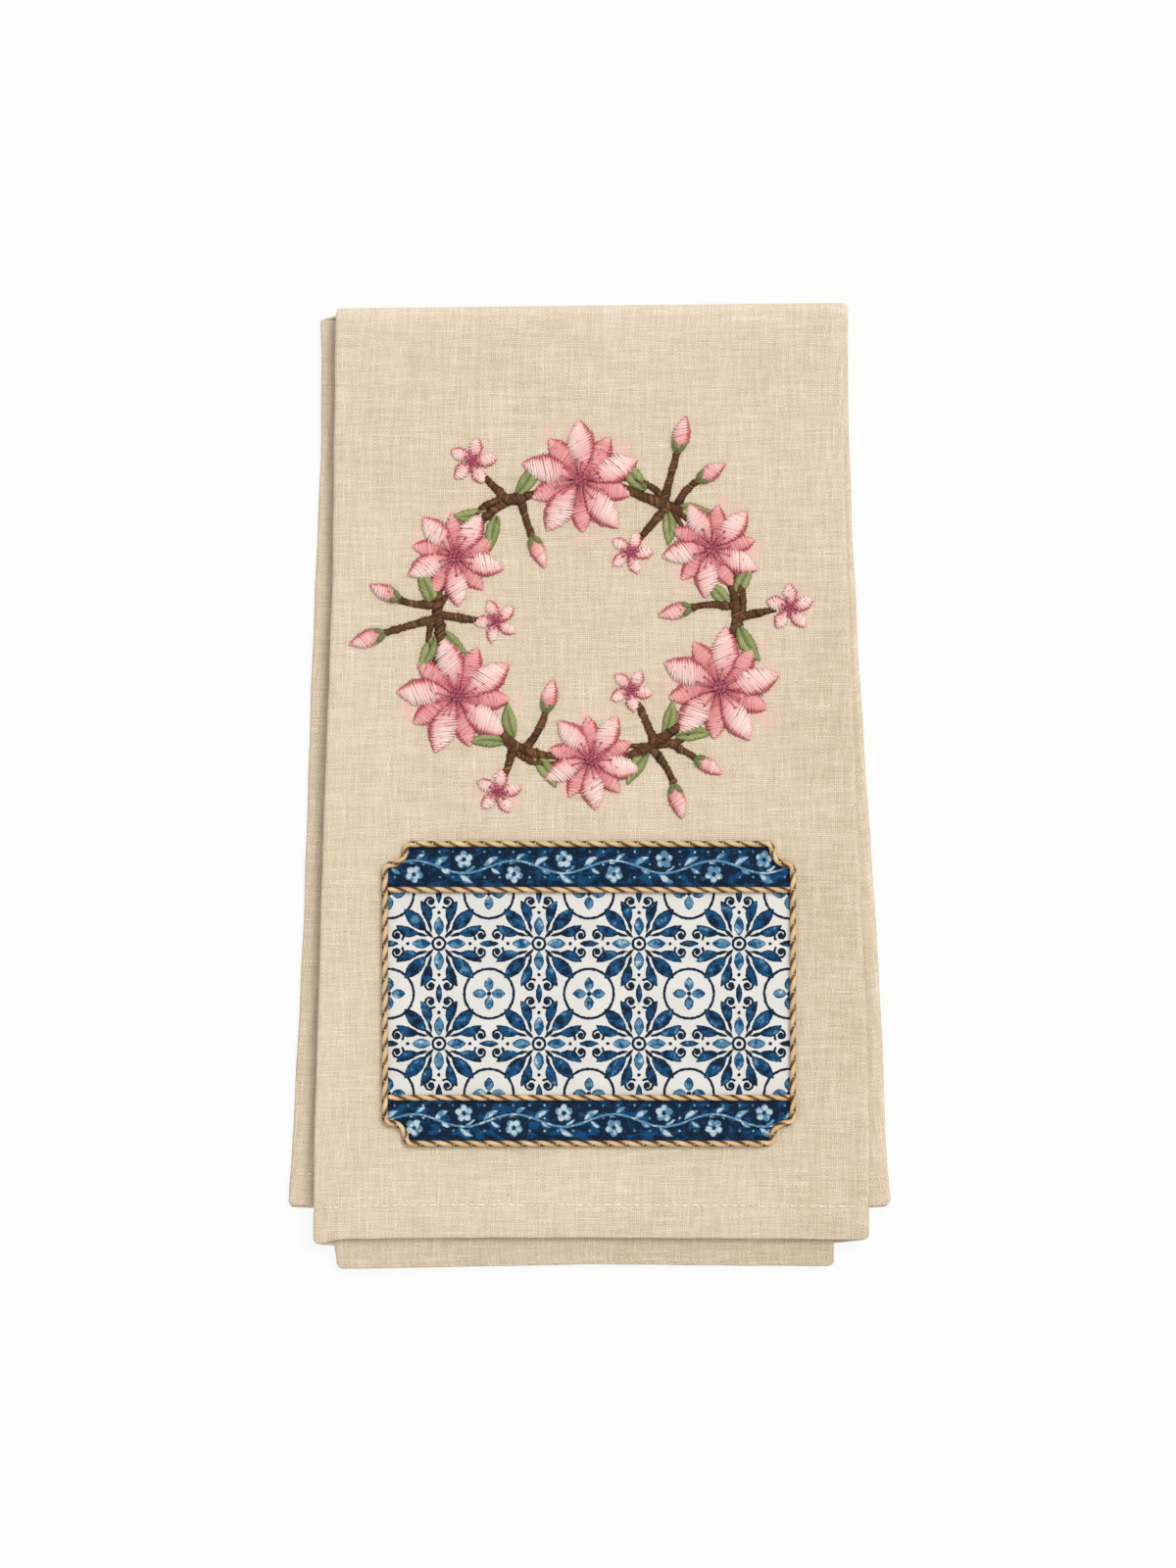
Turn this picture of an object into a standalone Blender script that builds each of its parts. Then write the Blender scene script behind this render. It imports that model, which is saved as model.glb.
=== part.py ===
"""Folded linen hand towel with a cotton panel sewn on and edged in gold cord.

The towel is one sheet. Its left and right thirds are folded in behind the middle, the left one first and
the right one behind that, and the strip this makes is then doubled at the top. Six layers lie on each
other: middle, left flap and right flap in front, and the same three in the other order behind.

X runs to the right of the front face, Y from the hems to the top fold, Z up from the surface on which the
towel lies. The origin is the middle of its footprint. Tables and formulas are in millimetres, and points
are turned to metres as they go into Blender.
"""

import math

import bpy
import numpy as np

MM = 0.001

# The cloth and how its layers are stacked
CLOTH = 1.0  # thickness of the sheet
PITCH = 1.5  # from the middle of one layer to the middle of the next
LAYERS = 6
GAP = 0.3  # between pieces that touch

STACK = (LAYERS - 1) * PITCH + CLOTH  # height of the folded towel
MID_Z = STACK / 2  # height of the line that the top fold turns round
TOP_RADIUS = (LAYERS - 1) / 2 * PITCH  # of the outermost layer where it turns over the top
LEFT_RADIUS = PITCH / 2  # middle panel to left flap, one pitch behind it
RIGHT_RADIUS = PITCH  # middle panel to right flap, two pitches behind it

# Outer edge of the folded towel, from the top down: height on the towel, then where the side folds of
# the front half and of the back half lie
SIDE_FOLDS = (
    # y, front left, front right, back left, back right
    (154.0, -86.4, 87.8, -91.6, 88.0),
    (114.0, -86.8, 87.4, -91.6, 88.2),
    (74.0, -87.2, 88.5, -93.3, 90.0),
    (34.0, -88.6, 89.8, -95.0, 92.3),
    (-6.0, -90.0, 91.3, -96.0, 94.7),
    (-46.0, -91.3, 93.1, -97.3, 97.3),
    (-86.0, -92.5, 94.9, -99.0, 99.3),
    (-126.0, -93.6, 95.5, -101.3, 101.0),
    (-143.0, -93.8, 95.4, -102.3, 102.3),
)

# The free edges of the flaps, which lie between the other layers
FREE_EDGES = (
    # y, front left flap, front right flap, back left flap, back right flap
    (154.0, 80.0, -80.0, 80.0, -80.0),
    (-60.0, 82.0, -84.0, 84.0, -84.0),
    (-143.0, 83.2, -85.7, 86.0, -86.0),
)

# The top fold rises a little from left to right
TOP_LEFT_Y = 162.5
TOP_RIGHT_Y = 164.5

# Hem of each layer: place across the towel and height
FRONT_MIDDLE_HEM = (
    (-94.0, -154.4),
    (-90.0, -155.2),
    (-84.0, -154.2),
    (-40.0, -153.9),
    (20.0, -154.0),
    (80.0, -154.5),
    (96.0, -154.2),
)
FRONT_LEFT_HEM = (
    (-94.0, -154.4),
    (-90.0, -155.8),
    (-86.5, -156.0),
    (-83.5, -162.6),
    (-60.0, -163.8),
    (0.0, -162.8),
    (83.0, -163.3),
)
FRONT_RIGHT_HEM = (
    (-86.0, -164.5),
    (-60.0, -163.4),
    (0.0, -161.2),
    (60.0, -158.0),
    (84.0, -155.4),
    (96.0, -154.2),
)
BACK_HEM = (
    (-102.5, -142.6),
    (-90.0, -143.2),
    (90.0, -143.2),
    (102.5, -142.4),
)

# Past the back hem the front half has nothing under it and sinks towards the surface
SINK = 4.2
SINK_FROM_Y = -141.0
SINK_TO_Y = -169.0

# Where the back half steps out sideways from behind the front half, along the sheet from the very top
STEP_FROM = 1.0
STEP_TO = 9.0

# Columns and rows of the sheet, as shares of each stretch
PANEL_SHARES = (0.0, 0.022, 0.05, 0.15, 0.3, 0.5, 0.7, 0.85, 0.95, 1.0)
FLAP_SHARES = (0.0, 0.022, 0.04, 0.058, 0.12, 0.2, 0.35, 0.55, 0.75, 0.93, 1.0)
LEFT_FOLD_STEPS = 4
RIGHT_FOLD_STEPS = 6
TOP_FOLD_STEPS = 12
FRONT_SHARES = (0.03, 0.155, 0.28, 0.41, 0.535, 0.66, 0.79, 0.91, 0.945, 0.96, 0.975, 0.987, 1.0)
BACK_SHARES = (0.005, 0.0105, 0.05, 0.16, 0.295, 0.43, 0.565, 0.7, 0.83, 0.93, 1.0)

# The cotton panel: a field between two bands, each edge covered by a twisted cord
TILE = 34.0  # side of one printed tile; the field is four wide and two high
FIELD_WIDTH = 4 * TILE
FIELD_HEIGHT = 2 * TILE
BAND_HEIGHT = 13.0
COTTON = 1.0  # thickness of the cotton pieces
CORD = 2.0  # the cord over its two plies
CORD_FLAT = 1.4  # the cord across them
LANE = CORD + 2 * GAP  # what a cord takes between two pieces
PANEL_MIDDLE_Y = -70.6
PANEL_WIDTH = FIELD_WIDTH + LANE  # between the middles of the cords
PANEL_HEIGHT = FIELD_HEIGHT + 2 * BAND_HEIGHT + 3 * LANE
NOTCH = 5.0  # radius of the hollow corner, along the cord
CORNER = 2.0  # radius of its two outer corners, along the cord
COTTON_Z = STACK + GAP + COTTON / 2
CORD_Z = STACK + GAP + CORD / 2

PLY_PITCH = 5.8  # half a turn of the twist shows one ply
TWIST_STEPS = 4  # for each ply that shows
CORD_SIDES = 6
ARC_STEP = math.radians(15)

# name: (colour, roughness, metallic)
FINISHES = {
    "linen": ((0.72, 0.60, 0.43), 0.85, 0.0),
    "white_cotton": ((0.82, 0.82, 0.79), 0.80, 0.0),
    "navy_cotton": ((0.02, 0.06, 0.17), 0.80, 0.0),
    "gold_cord": ((0.60, 0.38, 0.16), 0.45, 0.2),
}


def clear_scene():
    """Remove every object that the file opens with."""
    for thing in list(bpy.data.objects):
        bpy.data.objects.remove(thing, do_unlink=True)


def make_collection(name):
    """Return a new collection linked to the scene."""
    collection = bpy.data.collections.new(name)
    bpy.context.scene.collection.children.link(collection)
    return collection


def make_finishes():
    """Return one Principled material for each row of FINISHES."""
    made = {}
    for name, (colour, roughness, metallic) in FINISHES.items():
        material = bpy.data.materials.new(name)
        material.use_nodes = True
        shader = material.node_tree.nodes["Principled BSDF"]
        shader.inputs["Base Color"].default_value = (*colour, 1.0)
        shader.inputs["Roughness"].default_value = roughness
        shader.inputs["Metallic"].default_value = metallic
        made[name] = material
    return made


def column(table, index):
    """Return the first column of a table and the one asked for, rising, as np.interp needs them."""
    rows = np.array(table)
    rows = rows[np.argsort(rows[:, 0])]
    return rows[:, 0], rows[:, index]


def smoothstep(value):
    """Return 0 below 0, 1 above 1 and a smooth rise between."""
    share = np.clip(value, 0.0, 1.0)
    return share * share * (3.0 - 2.0 * share)


# ---------------------------------------------------------------- the folded sheet


def across_stations():
    """Return the columns of the sheet, from the left flap's free edge round to the right flap's.

    Each row weighs the left fold line, the right fold line and the two free edges, adds millimetres
    sideways, and gives how many pitches the column lies behind the middle panel.
    """
    stations = []
    for share in reversed(FLAP_SHARES[1:]):
        stations.append((1.0 - share, 0.0, share, 0.0, 0.0, 1.0))
    for step in range(LEFT_FOLD_STEPS, 0, -1):
        turn = math.pi * step / LEFT_FOLD_STEPS
        stations.append((1.0, 0.0, 0.0, 0.0, -LEFT_RADIUS * math.sin(turn), (1 - math.cos(turn)) / 2))
    for share in PANEL_SHARES:
        stations.append((1.0 - share, share, 0.0, 0.0, 0.0, 0.0))
    for step in range(1, RIGHT_FOLD_STEPS + 1):
        turn = math.pi * step / RIGHT_FOLD_STEPS
        stations.append((0.0, 1.0, 0.0, 0.0, RIGHT_RADIUS * math.sin(turn), 1 - math.cos(turn)))
    for share in FLAP_SHARES[1:]:
        stations.append((0.0, 1.0 - share, 0.0, share, 0.0, 2.0))
    return np.array(stations)


def along_stations():
    """Return the rows of the sheet, from the front hem over the top to the back hem.

    Each row gives the share of the way down to the front hem, the angle round the top fold, and the
    share of the way down to the back hem.
    """
    stations = [(share, 0.0, 0.0) for share in reversed(FRONT_SHARES)]
    for step in range(TOP_FOLD_STEPS + 1):
        stations.append((0.0, math.pi * step / TOP_FOLD_STEPS, 0.0))
    stations += [(0.0, math.pi, share) for share in BACK_SHARES]
    return np.array(stations)


def sideways(y, back, stations):
    """Return x of every column at the heights y, where back is 0 on the front half and 1 behind."""
    inset = CLOTH / 2
    left, right, left_free, right_free = (
        (1 - back) * np.interp(y, *column(table, first)) + back * np.interp(y, *column(table, first + 2))
        for table, first in ((SIDE_FOLDS, 1), (SIDE_FOLDS, 2), (FREE_EDGES, 1), (FREE_EDGES, 2))
    )
    lines = (left + inset + LEFT_RADIUS, right - inset - RIGHT_RADIUS, left_free, right_free)
    return sum(stations[:, i] * line for i, line in enumerate(lines)) + stations[:, 4]


def hem_heights(stations):
    """Return the height of the front hem and of the back hem at each column."""
    depth = stations[:, 5]
    x = sideways(np.full(len(stations), -154.0), 0.0, stations)
    middle, left, right = (
        np.interp(x, *column(table, 1)) for table in (FRONT_MIDDLE_HEM, FRONT_LEFT_HEM, FRONT_RIGHT_HEM)
    )
    right_side = stations[:, 1] + stations[:, 3] > 0.5
    behind = np.where(right_side & (depth > 0), right, left)
    share = np.where(right_side, depth / 2, depth)
    front = (1 - share) * middle + share * behind
    x_back = sideways(np.full(len(stations), -143.0), 1.0, stations)
    back = np.interp(x_back, *column(BACK_HEM, 1))
    return front, back


def sheet_points():
    """Return the middle surface of the folded sheet, rows by columns by three, in millimetres."""
    stations = across_stations()
    rows = along_stations()
    down_front, angle, down_back = (rows[:, i : i + 1] for i in range(3))
    depth = stations[:, 5]
    radius = TOP_RADIUS - depth * PITCH
    x_top = sideways(np.full(len(stations), TOP_LEFT_Y), 0.0, stations)
    share = np.clip((x_top + 87.0) / 175.0, 0.0, 1.0)
    turn_y = TOP_LEFT_Y + share * (TOP_RIGHT_Y - TOP_LEFT_Y) - TOP_RADIUS - CLOTH / 2
    front_hem, back_hem = hem_heights(stations)
    y = turn_y + radius * np.sin(angle) + down_front * (front_hem - turn_y) + down_back * (back_hem - turn_y)
    from_top = TOP_RADIUS * (angle - math.pi / 2) + down_back * (turn_y - back_hem)
    back = np.clip((from_top - STEP_FROM) / (STEP_TO - STEP_FROM), 0.0, 1.0)
    x = sideways(y, back, stations)
    z = MID_Z + radius * np.cos(angle) + 0.0 * y
    sink = SINK * smoothstep((SINK_FROM_Y - y) / (SINK_FROM_Y - SINK_TO_Y))
    z = z - np.where(angle < math.pi / 2, sink, 0.0)
    return np.stack((x, y, z), axis=2)


def make_towel(collection, finishes):
    """Make the towel: a grid laid on its folds and thickened to both sides."""
    points = sheet_points()
    rows, columns = points.shape[:2]
    bpy.ops.mesh.primitive_grid_add(x_subdivisions=columns - 1, y_subdivisions=rows - 1, size=1.0)
    towel = bpy.context.active_object
    towel.name = "towel_cloth"
    towel.data.vertices.foreach_set("co", (points * MM).ravel())
    towel.data.update()
    thicken = towel.modifiers.new("thickness", "SOLIDIFY")
    thicken.thickness = CLOTH * MM
    thicken.offset = 0.0
    thicken.use_even_offset = True
    thicken.use_rim = True
    towel.data.materials.append(finishes["linen"])
    move_to(towel, collection)
    return towel


def move_to(thing, collection):
    """Take an object out of its collections and put it into one."""
    for old in list(thing.users_collection):
        old.objects.unlink(thing)
    collection.objects.link(thing)


# ---------------------------------------------------------------- the cotton panel and its cords


class Walk:
    """An outline walked in straights and arcs, with its points in millimetres."""

    def __init__(self, x, y, heading):
        """Start at a point, looking along an angle."""
        self.x = x
        self.y = y
        self.heading = heading
        self.points = [(x, y)]

    def straight(self, length):
        """Go straight on."""
        self.x += length * math.cos(self.heading)
        self.y += length * math.sin(self.heading)
        self.points.append((self.x, self.y))

    def turn(self, degrees):
        """Turn on the spot, to the left where degrees is positive."""
        self.heading += math.radians(degrees)

    def arc(self, radius, degrees):
        """Follow an arc, to the left where degrees is positive."""
        side = math.copysign(1.0, degrees)
        middle_x = self.x - side * radius * math.sin(self.heading)
        middle_y = self.y + side * radius * math.cos(self.heading)
        steps = max(2, round(abs(math.radians(degrees)) / ARC_STEP))
        for _ in range(steps):
            self.turn(degrees / steps)
            self.x = middle_x + side * radius * math.sin(self.heading)
            self.y = middle_y - side * radius * math.cos(self.heading)
            self.points.append((self.x, self.y))

    def hollow_corner(self, inset):
        """Go round one corner of the panel, inset from the middle of the cord."""
        self.arc(CORNER - inset, 90)
        self.arc(NOTCH + inset, -90)
        self.arc(CORNER - inset, 90)


def corner_size():
    """Return the side of the square that a hollow corner takes, the same at any inset on its straights."""
    return 2 * CORNER + NOTCH


def outline_points():
    """Return the middle line of the cord round the panel, from the middle of its lower edge."""
    half_width = PANEL_WIDTH / 2 - corner_size()
    height = PANEL_HEIGHT - 2 * corner_size()
    walk = Walk(0.0, PANEL_MIDDLE_Y - PANEL_HEIGHT / 2, 0.0)
    walk.straight(half_width)
    walk.hollow_corner(0.0)
    walk.straight(height)
    walk.hollow_corner(0.0)
    walk.straight(2 * half_width)
    walk.hollow_corner(0.0)
    walk.straight(height)
    walk.hollow_corner(0.0)
    walk.straight(half_width)
    return np.array(walk.points)


def field_points():
    """Return the outline of the printed field, a plain rectangle."""
    half_width, half_height = FIELD_WIDTH / 2, FIELD_HEIGHT / 2
    corners = ((-1, -1), (1, -1), (1, 1), (-1, 1))
    return np.array([(x * half_width, PANEL_MIDDLE_Y + y * half_height) for x, y in corners])


def band_points(side):
    """Return the outline of the upper band, or of the lower one where side is -1."""
    inset = LANE / 2
    edge = FIELD_HEIGHT / 2 + LANE
    height = PANEL_HEIGHT / 2 - inset - edge
    half_width = PANEL_WIDTH / 2 - inset
    block = corner_size() - inset
    walk = Walk(-half_width, edge, 0.0)
    walk.straight(2 * half_width)
    walk.turn(90)
    walk.straight(height - block)
    walk.hollow_corner(inset)
    walk.straight(2 * (half_width - block))
    walk.hollow_corner(inset)
    points = np.array(walk.points)
    points[:, 1] = PANEL_MIDDLE_Y + side * points[:, 1]
    return points


def divider_points(side):
    """Return the two ends of the cord between the field and one band."""
    y = PANEL_MIDDLE_Y + side * (FIELD_HEIGHT + LANE) / 2
    reach = PANEL_WIDTH / 2 - CORD / 2 - GAP
    return np.array([(-reach, y), (reach, y)])


def make_flat_piece(name, points, finish, collection):
    """Make a flat piece of cotton from its outline: a filled 2D curve with an extrude."""
    curve = bpy.data.curves.new(name, "CURVE")
    curve.dimensions = "2D"
    curve.fill_mode = "BOTH"
    curve.extrude = COTTON / 2 * MM
    spline = curve.splines.new("POLY")
    spline.points.add(len(points) - 1)
    for point, (x, y) in zip(spline.points, points):
        point.co = (x * MM, y * MM, 0.0, 1.0)
    spline.use_cyclic_u = True
    curve.materials.append(finish)
    piece = bpy.data.objects.new(name, curve)
    piece.location = (0.0, 0.0, COTTON_Z * MM)
    collection.objects.link(piece)
    return piece


def even_steps(points, step, closed_gap=0.0):
    """Return points a step apart along a line, stopping short of its end by closed_gap."""
    lengths = np.hypot(*np.diff(points, axis=0).T)
    travelled = np.concatenate(([0.0], np.cumsum(lengths)))
    total = travelled[-1] - closed_gap
    count = max(2, round(total / step) + 1)
    wanted = np.linspace(0.0, total, count)
    return np.stack([np.interp(wanted, travelled, points[:, i]) for i in range(2)], axis=1)


def make_cord_section(collection):
    """Make the cord's section, a flattened ring of CORD_SIDES corners, as a guide."""
    curve = bpy.data.curves.new("cord_section", "CURVE")
    curve.dimensions = "2D"
    spline = curve.splines.new("POLY")
    spline.points.add(CORD_SIDES - 1)
    for index, point in enumerate(spline.points):
        turn = -2 * math.pi * index / CORD_SIDES
        across = math.cos(turn) * CORD / 2 * MM
        flat = math.sin(turn) * CORD_FLAT / 2 * MM
        point.co = (across, flat, 0.0, 1.0)
    spline.use_cyclic_u = True
    section = bpy.data.objects.new("cord_section", curve)
    section.hide_render = True
    section.display_type = "WIRE"
    collection.objects.link(section)
    return section


def make_cord(name, points, section, finish, collection):
    """Make a twisted cord: the section carried along a line and tilted a step at each point."""
    curve = bpy.data.curves.new(name, "CURVE")
    curve.dimensions = "3D"
    curve.twist_mode = "Z_UP"
    curve.bevel_mode = "OBJECT"
    curve.bevel_object = section
    curve.use_fill_caps = True
    spline = curve.splines.new("POLY")
    spline.points.add(len(points) - 1)
    for index, (point, (x, y)) in enumerate(zip(spline.points, points)):
        point.co = (x * MM, y * MM, CORD_Z * MM, 1.0)
        point.tilt = index * math.pi / TWIST_STEPS
    curve.materials.append(finish)
    cord = bpy.data.objects.new(name, curve)
    collection.objects.link(cord)
    return cord


def make_panel(collection, guides, finishes):
    """Make the printed field, its two bands and the three cords on their edges."""
    make_flat_piece("cotton_field", field_points(), finishes["white_cotton"], collection)
    section = make_cord_section(guides)
    step = PLY_PITCH / TWIST_STEPS
    for name, side in (("upper", 1), ("lower", -1)):
        make_flat_piece(f"cotton_band_{name}", band_points(side), finishes["navy_cotton"], collection)
        divider = even_steps(divider_points(side), step)
        make_cord(f"gold_cord_{name}", divider, section, finishes["gold_cord"], collection)
    outline = even_steps(outline_points(), step, closed_gap=GAP)
    make_cord("gold_cord_outline", outline, section, finishes["gold_cord"], collection)


def main():
    """Build the towel and all that is sewn to it."""
    clear_scene()
    collection = make_collection("hand_towel")
    guides = make_collection("guides")
    finishes = make_finishes()
    make_towel(collection, finishes)
    make_panel(collection, guides, finishes)


main()
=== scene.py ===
"""Looks of the folded linen hand towel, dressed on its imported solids.

The towel is one sheet on the folds of its solid. On it lies a stitched wreath of five-petalled flowers, and
below that a cotton panel of a traditional tile print between two navy bands, its edges covered by twisted
gold cord. Sizes are millimetres in the frame of the solids: X to the right of the front face, Y from the
hems to the top fold, Z up from the surface that the towel lies on. They become metres as a mesh is made.
"""

import logging
import math
from collections.abc import Callable
from dataclasses import dataclass, field
from enum import Enum
from functools import reduce

import bpy
import numpy as np
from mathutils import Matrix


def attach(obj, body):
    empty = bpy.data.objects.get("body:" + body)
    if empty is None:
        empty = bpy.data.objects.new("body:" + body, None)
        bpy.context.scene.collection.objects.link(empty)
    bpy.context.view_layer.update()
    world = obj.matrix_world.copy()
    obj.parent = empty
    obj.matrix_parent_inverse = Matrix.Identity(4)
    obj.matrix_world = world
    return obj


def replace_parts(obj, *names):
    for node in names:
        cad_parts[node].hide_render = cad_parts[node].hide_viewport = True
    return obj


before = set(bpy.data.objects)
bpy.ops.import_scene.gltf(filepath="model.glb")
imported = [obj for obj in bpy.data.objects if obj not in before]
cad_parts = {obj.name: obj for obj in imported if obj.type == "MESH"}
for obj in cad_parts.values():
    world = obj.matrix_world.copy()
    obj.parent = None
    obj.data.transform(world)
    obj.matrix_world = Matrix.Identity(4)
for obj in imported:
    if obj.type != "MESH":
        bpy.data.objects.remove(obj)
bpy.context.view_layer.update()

Array = np.ndarray
Ground = Callable[[Array, Array], Array]
Socket = bpy.types.NodeSocket
Colour = tuple[float, float, float]
Place = tuple[float, float, float]
Point = tuple[float, float]
Table = tuple[tuple[float, ...], ...]

LOG = logging.getLogger("hand_towel")
MM = 0.001
SEED = 2024
FULL_TURN = 2 * math.pi
# millimetres by which each thread's grain lies further on than the last one's
GRAIN_STEP = 7.3


# -------- arrays and meshes


def smoothstep(value: Array) -> Array:
    """Return 0 below 0, 1 above 1, and 3s^2 - 2s^3 between."""
    share = np.clip(value, 0.0, 1.0)
    return share * share * (3.0 - 2.0 * share)


def eased(value: Array, start: float, end: float) -> Array:
    """Return 0 up to the start, 1 from the end, and a smooth step between."""
    return smoothstep((value - start) / (end - start))


def runs(*parts: tuple[float, float, int]) -> Array:
    """Return even steps over parts of a start, an end and a count each, without the starts."""
    return np.concatenate([np.linspace(*part)[1:] for part in parts])


def rows_of(*parts: tuple[Array | float, ...]) -> Array:
    """Return the rows of some parts one after another, each part its columns or single numbers."""
    return np.concatenate([np.stack(np.broadcast_arrays(*part), axis=1) for part in parts])


def column(table: Table, index: int) -> tuple[Array, Array]:
    """Return a table's first column, rising, and another column in the same order."""
    rows = np.array(sorted(table))
    return rows[:, 0], rows[:, index]


def read(table: Table, index: int, at: Array) -> Array:
    """Return a column of a table, read at places on its first column."""
    return np.interp(at, *column(table, index))


def ripple(x: Array, y: Array, wave: float, seed: int) -> Array:
    """Return an even, soft unevenness between about -1 and 1.

    It is 1.6 times the mean of six sine waves, 0.7 to 1.5 of `wave` long, each with its own heading and
    start.

    Args:
        x: places across.
        y: places along.
        wave: length of a wave.
        seed: which unevenness.

    Returns:
        The unevenness at each place.
    """
    rng, waves = np.random.default_rng(SEED + seed), 6
    x, y = np.broadcast_arrays(x, y)
    shape = (waves,) + (1,) * x.ndim
    heading, start = (values.reshape(shape) for values in rng.uniform(0.0, FULL_TURN, (2, waves)))
    length = wave * rng.uniform(0.7, 1.5, waves).reshape(shape)
    turns = (np.cos(heading) * x + np.sin(heading) * y) / length
    return 1.6 * np.sin(FULL_TURN * turns + start).mean(axis=0)


def unit(vectors: Array) -> Array:
    """Return vectors, along the last axis, at a length of one."""
    return vectors / np.maximum(np.linalg.norm(vectors, axis=-1, keepdims=True), 1e-9)


def towards(heading: Array | float) -> Array:
    """Return unit vectors at some headings, the last axis of two."""
    return np.stack((np.cos(heading), np.sin(heading)), axis=-1)


def left_of(vectors: Array) -> Array:
    """Return vectors of two numbers turned a quarter to the left."""
    return np.stack((-vectors[..., 1], vectors[..., 0]), axis=-1)


def round_turn(count: int) -> Array:
    """Return the angles that part a full turn into `count` like steps."""
    return np.linspace(0.0, FULL_TURN, count, endpoint=False)


def points_at(line: Array, travelled: Array, at: Array) -> Array:
    """Return the points at lengths along a line whose own points have travelled so far."""
    return np.stack([np.interp(at, travelled, line[:, i]) for i in range(2)], axis=1)


def lengths_along(points: Array) -> Array:
    """Return how far each point of a line lies from its start."""
    steps = np.linalg.norm(np.diff(points, axis=0), axis=1)
    return np.concatenate(([0.0], np.cumsum(steps)))


def grid_faces(rows: int, columns: int, around: bool = False, closed: bool = False) -> Array:
    """Return the four corners of each face of a grid of points.

    Args:
        rows: points along the first axis.
        columns: points along the second axis.
        around: whether the last column joins the first.
        closed: whether the last row joins the first.

    Returns:
        One row of four indices for each face.
    """
    index = np.arange(rows * columns).reshape(rows, columns)
    beside, above = np.roll(index, -1, axis=1), np.roll(index, -1, axis=0)
    corners = np.stack((index, beside, np.roll(above, -1, axis=1), above), axis=2)
    corners = corners if closed else corners[:-1]
    corners = corners if around else corners[:, :-1]
    return corners.reshape(-1, 4)


def repeated(faces: Array, count: int, points: int) -> Array:
    """Return the faces of `count` like shapes whose points follow each other, `points` to a shape."""
    shift = np.arange(count)[:, None, None] * points
    return (faces[None] + shift).reshape(-1, faces.shape[1])


def ring_faces(count: int, rings: int, sides: int) -> list[Array]:
    """Return the faces of like shapes, each a row of rings with its two ends filled.

    Args:
        count: how many shapes.
        rings: how many rings each has.
        sides: points round a ring.

    Returns:
        The faces between the rings, and the ends.
    """
    each = rings * sides
    ends = np.stack((np.arange(sides)[::-1], each - sides + np.arange(sides)))
    return [repeated(grid_faces(rings, sides, around=True), count, each), repeated(ends, count, each)]


@dataclass
class Surface:
    """Points and faces in the making, with the numbers that a finish reads.

    Attributes:
        points: one row of three for each point.
        faces: arrays of faces, each array with its own number of corners.
        layout: place of each point on its cloth or thread, for the UV map.
        values: named number for each point.
    """

    points: Array
    faces: list[Array]
    layout: Array
    values: dict[str, Array] = field(default_factory=dict)

    def make(self, name: str, material: bpy.types.Material, slot: str) -> bpy.types.Object:
        """Make the object, smooth, with its place in its mesh, riding on the towel's one body.

        Args:
            name: the piece's name.
            material: its finish.
            slot: the record's material slot; not used.

        Returns:
            The new object, linked to the scene.
        """
        mesh = bpy.data.meshes.new(name)
        corners = np.concatenate([face.ravel() for face in self.faces]).astype(np.int32)
        counts = np.concatenate([np.full(len(face), face.shape[1]) for face in self.faces])
        starts = np.concatenate(([0], np.cumsum(counts)[:-1])).astype(np.int32)
        mesh.vertices.add(len(self.points))
        mesh.vertices.foreach_set("co", (self.points * MM).astype(np.float32).ravel())
        mesh.loops.add(len(corners))
        mesh.loops.foreach_set("vertex_index", corners)
        mesh.polygons.add(len(starts))
        mesh.polygons.foreach_set("loop_start", starts)
        mesh.update(calc_edges=True)
        mesh.shade_smooth()
        layer = mesh.uv_layers.new(name="layout")
        layer.data.foreach_set("uv", self.layout[corners].astype(np.float32).ravel())
        for key, value in self.values.items():
            store = mesh.attributes.new(key, "FLOAT", "POINT")
            store.data.foreach_set("value", value.astype(np.float32).ravel())
        mesh.materials.append(material)
        piece = bpy.data.objects.new(name, mesh)
        bpy.context.scene.collection.objects.link(piece)
        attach(piece, "root")
        LOG.info("%s: %d triangles", name, int((counts - 2).sum()))
        return piece


def joined(parts: list[Surface]) -> Surface:
    """Return one surface of several that hold the same named numbers.

    Args:
        parts: the surfaces.

    Returns:
        The one surface.
    """
    shifts = np.cumsum([0] + [len(part.points) for part in parts[:-1]])
    faces = [face + shift for part, shift in zip(parts, shifts) for face in part.faces]
    values = {key: np.concatenate([part.values[key] for part in parts]) for key in parts[0].values}
    points, layout = (np.concatenate(rows) for rows in zip(*((part.points, part.layout) for part in parts)))
    return Surface(points, faces, layout, values)


def leading_off(grid: Array) -> Array:
    """Return, for each point along the edge of a grid of points, the direction that leads off it.

    Args:
        grid: the points, rows by columns.

    Returns:
        Unit vectors, zero inside the grid.
    """
    outward = np.zeros_like(grid)
    outward[0] += unit(grid[0] - grid[1])
    outward[-1] += unit(grid[-1] - grid[-2])
    outward[:, 0] += unit(grid[:, 0] - grid[:, 1])
    outward[:, -1] += unit(grid[:, -1] - grid[:, -2])
    return unit(outward)


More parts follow.
